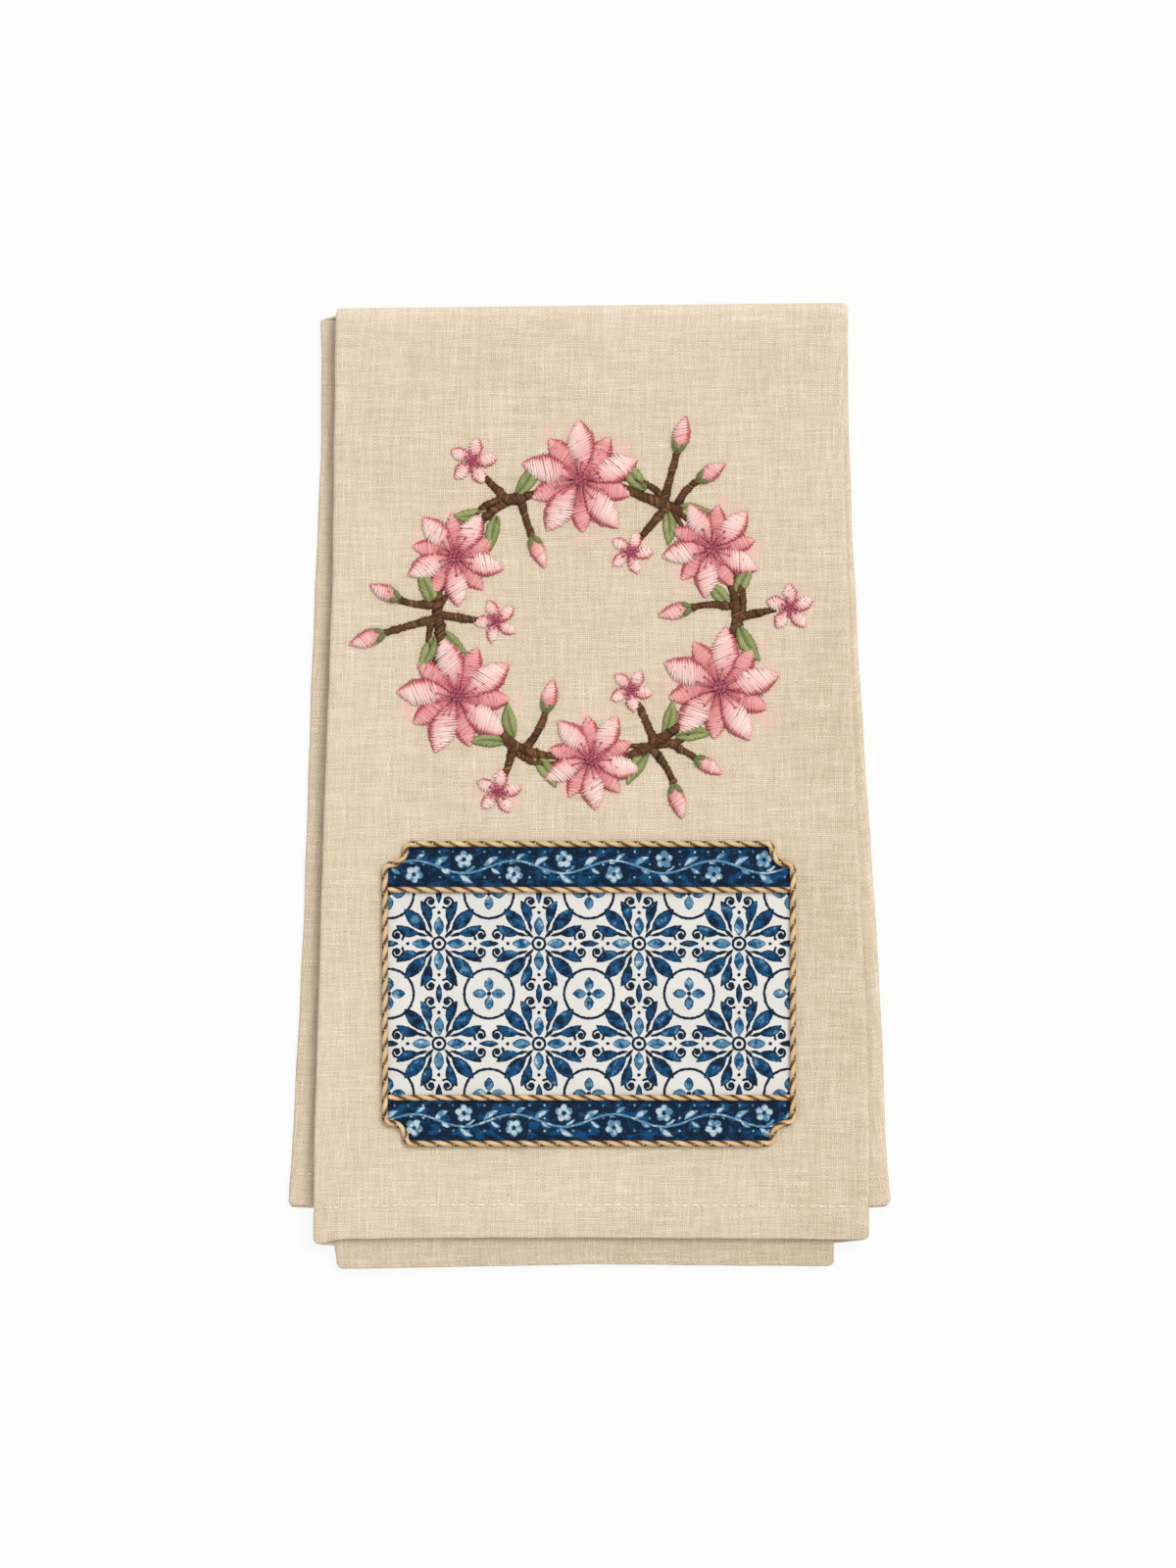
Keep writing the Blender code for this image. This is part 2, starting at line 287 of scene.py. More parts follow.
def shell(points: Array, thickness: Array, layout: Array, rim_steps: int = 3) -> Surface:
    """Return a closed sheet round a middle surface.

    Each side is the middle surface moved by half the thickness along its normal. The rim is a half
    circle: the edge point plus half the thickness times (cos a outward + sin a along the normal). The
    layout goes on over it by up to three quarters of the thickness, and comes back on its other side.

    Args:
        points: the middle surface, rows by columns by three.
        thickness: of the sheet at each point.
        layout: place of each point on the flat cloth, rows by columns by two.
        rim_steps: points between the two sides along the rim.

    Returns:
        The sheet, its rows and columns turning left as seen from the normal.
    """
    rows, columns = points.shape[:2]
    along_row, along_column = unit(np.gradient(points, axis=1)), unit(np.gradient(points, axis=0))
    normal = unit(np.cross(along_row, along_column))
    half = thickness[..., None] / 2
    index = np.arange(rows * columns).reshape(rows, columns)
    loop = np.concatenate((index[0, :-1], index[:-1, -1], index[-1, :0:-1], index[:0:-1, 0]))
    edge, up, outward = (values.reshape(-1, 3)[loop] for values in (points, normal, leading_off(points)))
    reach, beyond = half.reshape(-1, 1)[loop], leading_off(layout).reshape(-1, 2)[loop]
    turns = np.linspace(math.pi / 2, -math.pi / 2, rim_steps + 2)[1:-1]
    rims = [edge + reach * (math.cos(turn) * outward + math.sin(turn) * up) for turn in turns]
    total, length = rows * columns, len(loop)
    rings = [loop, *(2 * total + length * i + np.arange(length) for i in range(rim_steps)), loop + total]
    rim_faces = [
        np.stack((high, low, np.roll(low, -1), np.roll(high, -1)), axis=1)
        for high, low in zip(rings, rings[1:])
    ]
    flat = layout.reshape(-1, 2)
    flat_rims = [flat[loop] + 1.5 * math.cos(turn) * reach * beyond for turn in turns]
    sides = ((points + side * normal * half).reshape(-1, 3) for side in (1, -1))
    face = grid_faces(rows, columns)
    return Surface(
        np.concatenate((*sides, *rims)),
        [face, face[:, ::-1] + total, *rim_faces],
        np.concatenate((flat, flat, *flat_rims)),
    )


def tubes(path: Array, across: Array, sizes: Array, sides: int, closed: bool = False) -> Surface:
    """Return tubes along many paths at once, their ends filled.

    A ring is the path's point plus cos(a) times half the width along `across` plus sin(a) times half the
    height along the path's direction crossed with `across`.

    Args:
        path: tubes by stations by three.
        across: unit vectors of the same shape, square to the path.
        sizes: tubes by stations by two, the width and the height.
        sides: points round a ring.
        closed: whether each tube ends where it starts.

    Returns:
        The tubes, laid out by millimetres along and millimetres round.
    """
    count, stations = path.shape[:2]
    ahead = np.roll(path, -1, axis=1) - np.roll(path, 1, axis=1) if closed else np.gradient(path, axis=1)
    up = np.cross(unit(ahead), across)
    turn = round_turn(sides)[:, None]
    ring = across[:, :, None] * (sizes[:, :, None, :1] / 2 * np.cos(turn))
    ring = ring + up[:, :, None] * (sizes[:, :, None, 1:] / 2 * np.sin(turn))
    points = (path[:, :, None] + ring).reshape(-1, 3)
    steps = np.linalg.norm(np.diff(path, axis=1), axis=2)
    run = np.concatenate((np.zeros((count, 1)), np.cumsum(steps, axis=1)), axis=1)
    run = run[:, :, None] + GRAIN_STEP * np.arange(count)[:, None, None] + 0.0 * turn[:, 0]
    around = np.broadcast_to(turn[:, 0] / 2 * sizes.mean(axis=2).max(), run.shape)
    faces = ring_faces(count, stations, sides)
    if closed:
        faces = [repeated(grid_faces(stations, sides, around=True, closed=True), count, stations * sides)]
    return Surface(points, faces, np.stack((run.ravel(), around.ravel()), axis=1))


# -------- the finishes


def operator(operation: str, swapped: bool = False) -> "Callable[[Number, Number | float], Number]":
    """Return a method of Number that adds a Math node.

    Args:
        operation: the node's operation.
        swapped: whether the other number comes first.

    Returns:
        The method.
    """

    def method(number: "Number", other: "Number | float") -> "Number":
        """Return the operation's result."""
        return number.ink.math(operation, *((other, number) if swapped else (number, other)))

    return method


class Number:
    """A number over a surface, worked out by a material's nodes. Python's operators add the nodes."""

    __add__ = __radd__ = operator("ADD")
    __mul__ = __rmul__ = operator("MULTIPLY")
    __sub__, __rsub__ = operator("SUBTRACT"), operator("SUBTRACT", swapped=True)
    __truediv__, __pow__, __mod__ = operator("DIVIDE"), operator("POWER"), operator("FLOORED_MODULO")

    def __init__(self, ink: "Ink", socket: Socket) -> None:
        """Wrap a node's output."""
        self.ink, self.socket = ink, socket

    def __abs__(self) -> "Number":
        """Return the number without its sign."""
        return self.apply("ABSOLUTE")

    def apply(self, operation: str, other: "Number | float" = 0.0) -> "Number":
        """Return a Math node's result on this number and, where it takes two, another."""
        return self.ink.math(operation, self, other)


def largest(*numbers: Number | float) -> Number:
    """Return the largest of some numbers, the first of them a Number."""
    return reduce(lambda first, second: first.apply("MAXIMUM", second), numbers)


def least(*numbers: Number | float) -> Number:
    """Return the least of some numbers, the first of them a Number."""
    return reduce(lambda first, second: first.apply("MINIMUM", second), numbers)


def far(x: Number, y: Number) -> Number:
    """Return how far a place lies from where x and y are 0."""
    return (x * x + y * y) ** 0.5


Feed = Number | Socket | float | Colour


class Ink:
    """Short ways to write a material's nodes."""

    def __init__(self, name: str) -> None:
        """Start a material with its Principled shader.

        Args:
            name: the material's name.
        """
        self.material = bpy.data.materials.new(name)
        self.material.use_nodes = True
        self.tree = self.material.node_tree
        self.shader = self.tree.nodes["Principled BSDF"]

    def feed(self, socket: Socket, value: Feed) -> None:
        """Link a socket to another, or set its number or colour.

        Args:
            socket: the input.
            value: a Number, an output, a number, or three numbers.
        """
        value = value.socket if isinstance(value, Number) else value
        if isinstance(value, bpy.types.NodeSocket):
            self.tree.links.new(value, socket)
        elif isinstance(value, tuple):
            socket.default_value = (*value, 1.0) if len(socket.default_value) == 4 else value
        else:
            socket.default_value = value

    def node(self, kind: str, inputs: dict[int | str, Feed], output: int | str, **settings: str) -> Socket:
        """Add a node.

        Args:
            kind: its type, after "ShaderNode".
            inputs: what goes in its inputs, by name or place.
            output: the name or place of the output to return.
            settings: its properties.

        Returns:
            The output.
        """
        node = self.tree.nodes.new("ShaderNode" + kind)
        for name, setting in settings.items():
            setattr(node, name, setting)
        for place, value in inputs.items():
            self.feed(node.inputs[place], value)
        return node.outputs[output]

    def layout(self, along: float, around: float) -> Socket:
        """Return the layout counted in units of `along` and `around` millimetres."""
        inputs = {0: self.node("UVMap", {}, "UV", uv_map="layout"), 1: (1 / along, 1 / around, 0.0)}
        return self.node("VectorMath", inputs, "Vector", operation="MULTIPLY")

    def place(self, unit_size: float) -> tuple[Number, Number]:
        """Return the layout's two numbers, counted in units of a size in millimetres."""
        layout = self.layout(unit_size, unit_size)
        return tuple(Number(self, self.node("SeparateXYZ", {0: layout}, axis)) for axis in ("X", "Y"))

    def paired(self, x: Number, y: Number) -> Socket:
        """Return the vector of two numbers."""
        return self.node("CombineXYZ", {"X": x, "Y": y}, "Vector")

    def value(self, name: str) -> Number:
        """Return a named number of the mesh."""
        return Number(self, self.node("Attribute", {}, "Fac", attribute_name=name))

    def math(self, operation: str, first: Number | float, second: Number | float = 0.0) -> Number:
        """Return a Math node's result on two numbers."""
        return Number(self, self.node("Math", {0: first, 1: second}, "Value", operation=operation))

    def noise(self, along: float, around: float, detail: float = 2.0, roughness: float = 0.5) -> Number:
        """Return noise over the layout, with blots of so many millimetres along and around it."""
        return self.noise_at(self.layout(along, around), detail, roughness)

    def noise_at(self, place: Feed, detail: float = 2.0, roughness: float = 0.5) -> Number:
        """Return noise at a place, about 0.5 in the middle, with blots of unit size."""
        inputs = {"Vector": place, "Scale": 1.0, "Detail": detail, "Roughness": roughness}
        return Number(self, self.node("TexNoise", inputs, "Fac"))

    def fit(
        self, value: Number, low: float, high: float, new_low: float = 0.0, new_high: float = 1.0
    ) -> Number:
        """Return a value carried smoothly from low..high to new_low..new_high, and held outside."""
        inputs = {"Value": value, "From Min": low, "From Max": high, "To Min": new_low, "To Max": new_high}
        return Number(self, self.node("MapRange", inputs, "Result", interpolation_type="SMOOTHSTEP"))

    def mixed(self, share: Number, low: Feed, high: Feed) -> Socket:
        """Return a colour that goes from low to high as share goes from 0 to 1."""
        return self.node("Mix", {0: share, 6: low, 7: high}, 2, data_type="RGBA")

    def ramp(self, share: Number, *stops: tuple[float, Colour]) -> Socket:
        """Return the colour at a share of a ramp.

        Args:
            share: where to read it.
            stops: places and colours.

        Returns:
            The colour.
        """
        colour = self.node("ValToRGB", {"Fac": share}, "Color")
        elements = colour.node.color_ramp.elements
        while len(elements) < len(stops):
            elements.new(0.5)
        for element, (place, shade) in zip(elements, stops):
            element.position, element.color = place, (*shade, 1.0)
        return colour

    def relief(self, height: Number, depth: float) -> None:
        """Bump the surface by a height of 0 to 1 that stands for `depth` millimetres."""
        bump = self.node("Bump", {"Distance": depth * MM, "Height": height}, "Normal")
        self.feed(self.shader.inputs["Normal"], bump)

    def finish(self, **numbers: Feed) -> bpy.types.Material:
        """Set the shader's sockets.

        Args:
            numbers: what goes in each, named with underscores for blanks.

        Returns:
            The material.
        """
        for name, number in numbers.items():
            self.feed(self.shader.inputs[name.replace("_", " ")], number)
        return self.material


@dataclass(frozen=True)
class SlubbyLinen:
    """Plain-weave linen of thick and thin threads, with a patchy pink wash beside the stitched flowers.

    A thread is `thread` millimetres wide, changes its shade over `yarn` millimetres and wanders by
    `wander` threads. The range in `slubs` is how pale it is where a slub starts and is full. The numbers
    from `shades` to `back` say how far each thing changes the shade, and `bump` is the weave's depth.
    Of these, `hollow` is painted shade at the sides of each thread and painted light on its crown, and
    `back` is painted shade on the wrong side of the cloth.
    """

    thread: float = 0.62
    yarn: float = 14.0
    wander: float = 0.9
    slubs: Point = (0.62, 0.74)
    bump: float = 0.13
    shades: Point = (0.355, 0.665)
    # painted shade at a thread's sides and painted light on its crown
    hollow: Point = (-0.15, 0.07)
    gap: float = 0.56
    grain: float = 0.055
    streak: float = 0.05
    band: float = 0.015
    cloud: float = 0.03
    slub: float = 0.10
    # painted shade on the wrong side of the cloth
    back: float = 0.14
    deep: Colour = (0.44, 0.34, 0.21)
    body: Colour = (0.72, 0.607, 0.45)
    pale: Colour = (0.90, 0.825, 0.70)
    wash: Colour = (0.86, 0.52, 0.48)

    def yarns(self, ink: Ink, across: Number, along: Number) -> tuple[Number, Number, Number]:
        """Return one set of threads.

        Thread n covers n to n + 1 across. Its profile is 1 - (2 f - 1)^2, where f is the place across it,
        and its shade is noise at (2.7 n, length along it).

        Args:
            ink: the material.
            across: place across the threads, counted in threads.
            along: place along them, counted in threads.

        Returns:
            The thread's number, its profile and its shade.
        """
        number = across.apply("FLOOR")
        off_middle = across.apply("FRACT") - 0.5
        place = ink.paired(number * 2.7, along * (self.thread / self.yarn))
        return number, 1.0 - off_middle * off_middle * 4.0, ink.noise_at(place)

    def crossed(self, ink: Ink, fine: float, long: float, strength: float) -> Number:
        """Return streaks both ways, `fine` by `long` millimetres, up to `strength` lighter or darker."""
        return ink.fit(ink.noise(fine, long) + ink.noise(long, fine), 0.70, 1.30, -strength, strength)

    def material(self) -> bpy.types.Material:
        """Write the material.

        The threads wander a little. Upright and level ones lie on top by turns, as in plain weave, and
        each is lighter or darker along its own length and a little at each crossing. The gaps where four
        threads meet are dark. The palest stretches of thread are slubs, and stand proud. Soft bands and
        clouds shade the whole, painted shade darkens the sides of each thread and painted light its crown,
        the towel's painted light and shade lighten and darken it in places, painted shade darkens the wrong
        side of the cloth, and the wash is in blots.

        Returns:
            The material.
        """
        ink = Ink("slubby_linen")
        across, along = ink.place(self.thread)
        across = across + ink.fit(ink.noise(9.0, 30.0), 0.2, 0.8, -self.wander, self.wander)
        along = along + ink.fit(ink.noise(30.0, 9.0), 0.2, 0.8, -self.wander, self.wander)
        upright, upright_profile, upright_shade = self.yarns(ink, across, along)
        level, level_profile, level_shade = self.yarns(ink, along, across)
        on_top = (upright + level).apply("PINGPONG", 1.0)
        profile = level_profile + (upright_profile - level_profile) * on_top
        shade = level_shade + (upright_shade - level_shade) * on_top
        slubs = largest(*(ink.fit(pale, *self.slubs) for pale in (upright_shade, level_shade)))
        crossing = {"Vector": ink.paired(upright, level)}
        grain = Number(ink, ink.node("TexWhiteNoise", crossing, "Value", noise_dimensions="2D"))
        tone = (
            ink.fit(shade, 0.30, 0.70, *self.shades)
            + self.crossed(ink, 0.7, 20.0, self.streak)
            + ink.fit(upright_profile + level_profile, 0.10, 1.0, -self.gap, 0.0)
            # painted shade at the sides of each thread and painted light on its crown
            + ink.fit(profile, 0.0, 0.9, *self.hollow)
            + self.crossed(ink, 3.0, 60.0, self.band)
            + ink.fit(ink.noise(30.0, 45.0, 3.0), 0.3, 0.7, -self.cloud, self.cloud)
            + ink.fit(grain, 0.0, 1.0, -self.grain, self.grain)
            + slubs * self.slub
            # painted light and shade from the towel, and painted shade on the wrong side of the cloth
            + ink.value("painted_shading")
            - ink.value("wrong_side_painted_shade") * self.back
        )
        cloth = ink.ramp(tone, (0.0, self.deep), (0.5, self.body), (1.0, self.pale))
        blot = ink.fit(ink.noise(5.0, 7.0, 3.0), 0.44, 0.56, 0.05, 1.0)
        tinted = ink.mixed(ink.value("wash") * blot, cloth, self.wash)
        ink.relief(profile * 0.7 + slubs * 0.3, self.bump)
        return ink.finish(
            Base_Color=tinted, Roughness=0.88, Specular_IOR_Level=0.2, Sheen_Weight=0.06, Sheen_Roughness=0.5
        )


class Print(Enum):
    """What is printed on a piece of cotton."""

    TILES = "tiles"
    SPRIG = "sprig"


@dataclass(frozen=True)
class PrintedCotton:
    """Fine cotton with a blue watercolour print, whose pattern says how deep in each motif a place lies."""

    printed: Print
    pattern: "TilePrint | SprigPrint"
    edge: float = 0.08
    wobble: float = 0.10
    blot: float = 3.4
    white: Colour = (0.715, 0.712, 0.68)
    shaded: Colour = (0.67, 0.668, 0.635)
    navy: Colour = (0.003, 0.014, 0.036)
    blue: Colour = (0.005, 0.062, 0.165)
    light: Colour = (0.085, 0.22, 0.35)
    ice: Colour = (0.48, 0.58, 0.62)

    def layers(self) -> dict[str, tuple[Colour, Colour, Colour]]:
        """Return the kinds of motif.

        Returns:
            Its deep, middle and thin colour for each, from the lowest to the topmost.
        """
        if self.printed is Print.TILES:
            return {
                "line": (self.navy, self.navy, self.blue),
                "light": (self.blue, self.light, self.ice),
                "navy": (self.navy, self.blue, self.light),
                "dot": (self.navy, self.navy, self.blue),
            }
        return {
            "navy": (self.navy, self.navy, self.blue),
            "line": (self.light, self.ice, self.ice),
            "light": (self.light, self.ice, self.ice),
            "dot": (self.navy, self.blue, self.blue),
        }

    def ground(self, ink: Ink) -> Socket:
        """Return the colour under the motifs: white, or navy with blots of blue.

        Args:
            ink: the material.

        Returns:
            The colour.
        """
        if self.printed is Print.TILES:
            return ink.mixed(ink.fit(ink.noise(14.0, 14.0), 0.3, 0.7), self.white, self.shaded)
        return ink.mixed(ink.fit(ink.noise(4.5, 3.0, 3.0, 0.65), 0.44, 0.62), self.navy, self.blue)

    def material(self) -> bpy.types.Material:
        """Write the material: the ground, then each motif over it, then the weave.

        A motif's edge wavers a little. Its colour runs from thin to deep in blots and gathers at its edge.

        Returns:
            The material.
        """
        ink = Ink(f"cotton_{self.printed.value}")
        colour = self.ground(ink)
        wobble = ink.fit(ink.noise(1.1, 1.1), 0.3, 0.7, -self.wobble, self.wobble)
        blots = ink.noise(self.blot, self.blot, 3.0, 0.62)
        depths = self.pattern.depths(*ink.place(1.0))
        for name, (deep, body, thin) in self.layers().items():
            strength = blots + ink.fit(depths[name], 0.0, 0.6, 0.16, 0.0)
            wet = ink.ramp(strength, (0.34, thin), (0.42, body), (0.49, body), (0.57, deep))
            colour = ink.mixed(ink.fit(depths[name] + wobble, -self.edge, self.edge), colour, wet)
        weave = ink.noise(0.34, 6.0) + ink.noise(6.0, 0.34)
        worn = ink.mixed(ink.fit(weave, 0.8, 1.4, 0.0, 0.015), colour, self.white)
        ink.relief(weave * 0.5, 0.08)
        return ink.finish(Base_Color=worn, Roughness=0.9, Specular_IOR_Level=0.12)


@dataclass(frozen=True)
class ThreadFinish:
    """Embroidery thread or cord: its shades from deep to pale, and how it shines."""

    name: str
    deep: Colour
    body: Colour
    pale: Colour
    roughness: float = 0.40
    strand: float = 0.13
    gloss: float = 0.5
    sheen: float = 0.12

    def material(self) -> bpy.types.Material:
        """Write the material: the thread's own shade with fine strands drawn out along it.

        Returns:
            The material.
        """
        ink = Ink(self.name)
        strands = ink.noise(3.0, self.strand, 1.0)
        shade = ink.value("tone") + ink.fit(strands, 0.3, 0.7, -0.10, 0.10)
        colour = ink.ramp(shade, (0.0, self.deep), (0.5, self.body), (1.0, self.pale))
        ink.relief(strands, 0.06)
        return ink.finish(
            Base_Color=colour,
            Roughness=self.roughness,
            Specular_IOR_Level=self.gloss,
            Sheen_Weight=self.sheen,
            Sheen_Roughness=0.4,
        )


class Thread(Enum):
    """The threads and the cord that the towel is worked in."""

    PINK = ThreadFinish("pink_thread", (0.56, 0.095, 0.12), (0.83, 0.40, 0.385), (0.93, 0.74, 0.70))
    ROSE = ThreadFinish("rose_thread", (0.16, 0.012, 0.04), (0.40, 0.05, 0.11), (0.70, 0.22, 0.28))
    BROWN = ThreadFinish(
        "brown_thread", (0.032, 0.011, 0.004), (0.115, 0.049, 0.018), (0.27, 0.145, 0.062), 0.55,
        gloss=0.2, sheen=0.0,
    )
    GREEN = ThreadFinish("green_thread", (0.09, 0.11, 0.025), (0.22, 0.26, 0.075), (0.42, 0.45, 0.19), 0.45)
    GOLD = ThreadFinish("gold_cord", (0.075, 0.032, 0.01), (0.60, 0.36, 0.15), (0.90, 0.70, 0.43), 0.36, 0.2)
    CREAM = ThreadFinish("hem_thread", (0.30, 0.20, 0.10), (0.78, 0.67, 0.50), (0.95, 0.90, 0.81), 0.6)


# -------- the towel


@dataclass
class FoldedTowel:
    """The linen sheet on its folds: side flaps behind the middle, then doubled at the top."""

    cloth: float = 1.0
    pitch: float = 1.5
    layers: int = 6
    hem_depth: float = 10.8
    hem_extra: float = 0.2
    hem_groove: float = 0.32
    hem_groove_width: float = 0.7
    sink: float = 4.2
    sink_from: float = -141.0
    sink_to: float = -169.0
    step_from: float = 3.4
    step_to: float = 5.6
    step_thinner: float = 0.35
    top_left: float = 162.9
    top_right: float = 164.8
    unevenness: float = 0.22
    tuck: float = 0.8
    tuck_height: float = 1.2
    back_drop: float = 0.7
    lip_height: float = 1.2
    corner: float = 0.8
    corner_reach: float = 1.3
    # heights at which the hems of the front and of the back half are read, and how far they waver
    hem_y: Point = (-154.0, -143.0)
    hem_waver: float = 0.10
    # strongest pink, and how far out of a flower's pink place it has faded, in its radii
    stain: float = 0.7
    stain_reach: float = 1.35
    # painted light on the top fold, painted light and shade along the left edge before and behind, and
    # painted shade along the right
    painted_top_light: float = 0.08
    painted_left_light_and_shade: Point = (0.02, -0.04)
    painted_right_shade: float = 0.09
    # painted shade on the wrong side of the cloth, where it shows below the front hem: its share from the
    # left edge to the right, and the width between them
    wrong_side_shade_range: Point = (0.35, 1.20)
    wrong_side_shade_width: float = 170.0

    # y, front left, front right, back left, back right
    side_folds: Table = (
        (162, -86.4, 88.2, -92, 88.7), (152, -86.4, 87.2, -91.6, 88.3),
        (114, -86.8, 87, -91.6, 88.9), (74, -87.2, 88.1, -93.3, 90.5),
        (34, -88.6, 89.8, -95, 92.7), (-6, -90, 91.3, -96.1, 95.4),
        (-46, -91.3, 93.1, -97.5, 98), (-86, -92.5, 94.9, -99.5, 100.2),
        (-126, -93.6, 95.5, -101.6, 101.7), (-143, -93.8, 95.4, -102.6, 103.1),
    )
    # y, front left flap, front right flap, back left flap, back right flap
    free_edges: Table = (
        (154, 80, -80, 80, -80), (-60, 82, -84, 84, -84), (-143, 83.2, -85.7, 86, -86),
    )
    # x, y of each hem
    front_middle_hem: Table = (
        (-94, -155.4), (-91.5, -155.6), (-88, -154.4), (-84, -153.8), (-70, -153.5),
        (-40, -153.2), (20, -153.2), (80, -153.8), (96, -154),
    )
    front_left_hem: Table = (
        (-94, -155.4), (-90, -156), (-87.2, -156.1), (-86.6, -156.2), (-86.2, -162.4), (-85.5, -163.8),
        (-84.4, -164.3), (-60, -164), (0, -162.7), (81.8, -163.4), (82.7, -163.1), (83.2, -162.5),
    )
    front_right_hem: Table = (
        (-86, -163.2), (-60, -163.2), (0, -161.2), (60, -158), (84, -155.4), (96, -154.2),
    )
    back_hem: Table = ((-102.5, -142.6), (-90, -143.2), (90, -143.2), (102.5, -142.4))

    def __post_init__(self) -> None:
        """Work out the heights and radii that follow from the stack of layers."""
        self.top_radius = (self.layers - 1) / 2 * self.pitch
        self.middle_z = self.top_radius + self.cloth / 2
        self.left_radius = self.pitch / 2
        self.right_radius = self.pitch

    def across(self) -> Array:
        """Return the columns of the sheet, from the left flap's free edge to the right flap's.

        Returns:
            For each column, the weights of the left fold line, right fold line, left free edge and right
            free edge, a sideways addition, and how many pitches it lies behind the middle.
        """
        # a flap's columns, closest together by its fold, where its hem steps down, and at its free edge
        flap = runs((0.0, 0.03, 6), (0.03, 0.054, 10), (0.054, 0.985, 19), (0.985, 1.0, 6))
        panel = np.linspace(0.0, 1.0, 90)
        left, right = np.linspace(math.pi, 0.0, 9)[:-1], np.linspace(0.0, math.pi, 13)[1:]
        return rows_of(
            (1 - flap[::-1], 0, flap[::-1], 0, 0, 1),
            (1, 0, 0, 0, -self.left_radius * np.sin(left), (1 - np.cos(left)) / 2),
            (1 - panel, panel, 0, 0, 0, 0),
            (0, 1, 0, 0, self.right_radius * np.sin(right), 1 - np.cos(right)),
            (0, 1 - flap, 0, flap, 0, 2),
        )

    def along(self) -> Array:
        """Return the rows of the sheet, from the front hem over the top to the back hem.

        Returns:
            For each row, the share of the way down to the front hem, the angle round the top fold, and
            the share of the way down to the back hem.
        """
        # the rows lie closest together in the hems and beside the top fold
        front = np.concatenate(([1.0], runs((1.0, 0.955, 34), (0.955, 0.02, 118), (0.02, 0.0, 4))[:-1]))
        turn = np.linspace(0.0, math.pi, 30)
        back = runs((0.0, 0.012, 9), (0.012, 0.955, 40), (0.955, 1.0, 14))
        return rows_of((front, 0, 0), (0, turn, 0), (0, math.pi, back))

    def sideways(self, y: Array, back: Array, stations: Array) -> Array:
        """Return x of every column at the heights y.

        It is the weighted sum of the fold lines and free edges, plus the fold's own bulge.

        Args:
            y: heights.
            back: 0 on the front half and 1 on the back half.
            stations: the columns, from across().

        Returns:
            The places across.
        """
        edges = [
            (1 - back) * read(table, first, y) + back * read(table, first + 2, y)
            for table in (self.side_folds, self.free_edges)
            for first in (1, 2)
        ]
        waver = [0.2 * ripple(40.0 * back, y, wave, 11) for wave in (26.0, 31.0)]
        inset = self.cloth / 2
        edges[0] = edges[0] + inset + self.left_radius + waver[0]
        edges[1] = edges[1] - inset - self.right_radius + waver[1]
        return sum(stations[:, i] * edge for i, edge in enumerate(edges)) + stations[:, 4]

    def hems(self, stations: Array) -> tuple[Array, Array]:
        """Return the height of the front hem and of the back hem at each column.

        Args:
            stations: the columns, from across().

        Returns:
            The two heights.
        """
        depth = stations[:, 5]
        x, x_back = (
            self.sideways(np.full(len(stations), y), back, stations) for back, y in enumerate(self.hem_y)
        )
        tables = (self.front_middle_hem, self.front_left_hem, self.front_right_hem)
        middle, left, right = (read(table, 1, x) for table in tables)
        right_side = stations[:, 1] + stations[:, 3] > 0.5
        behind = np.where(right_side & (depth > 0), right, left)
        share = np.where(right_side, depth / 2, depth)
        front = (1 - share) * middle + share * behind + self.hem_waver * ripple(x, depth * 9.0, 21.0, 5)
        back = read(self.back_hem, 1, x_back) + self.hem_waver * ripple(x_back, depth * 9.0, 23.0, 6)
        return front, back - self.back_drop * (1.0 - np.clip(depth, 0.0, 1.0))

    def lift(self, x: Array, y: Array) -> Array:
        """Return how much the cloth's unevenness raises the front face."""
        return self.unevenness * (1.0 + 0.7 * ripple(x, y, 75.0, 1) + 0.3 * ripple(x, y, 26.0, 2))

    def droop(self, y: Array) -> Array:
        """Return how far the front half has sunk at a height on the towel."""
        return self.sink * eased(y, self.sink_from, self.sink_to)

    def lip(self, x: Array, y: Array) -> Array:
        """Return how far the front hem of the middle panel stands off the strip under it."""
        ends = eased(x, -92.0, -83.0) * eased(x, 94.0, 78.0)
        return self.lip_height * eased(y, -136.0, -154.0) * ends

    def level(self, layer: int) -> Ground:
        """Return the flat ground on top of a layer, counted from the lowest."""
        height = self.middle_z - self.top_radius + layer * self.pitch + self.cloth / 2
        return lambda x, y: height + 0.0 * x

    def front(self, x: Array, y: Array) -> Array:
        """Return the height of the front face, on which the stitching lies."""
        height = self.middle_z + self.top_radius + self.cloth / 2
        return height - self.droop(y) + self.lift(x, y) + self.lip(x, y)

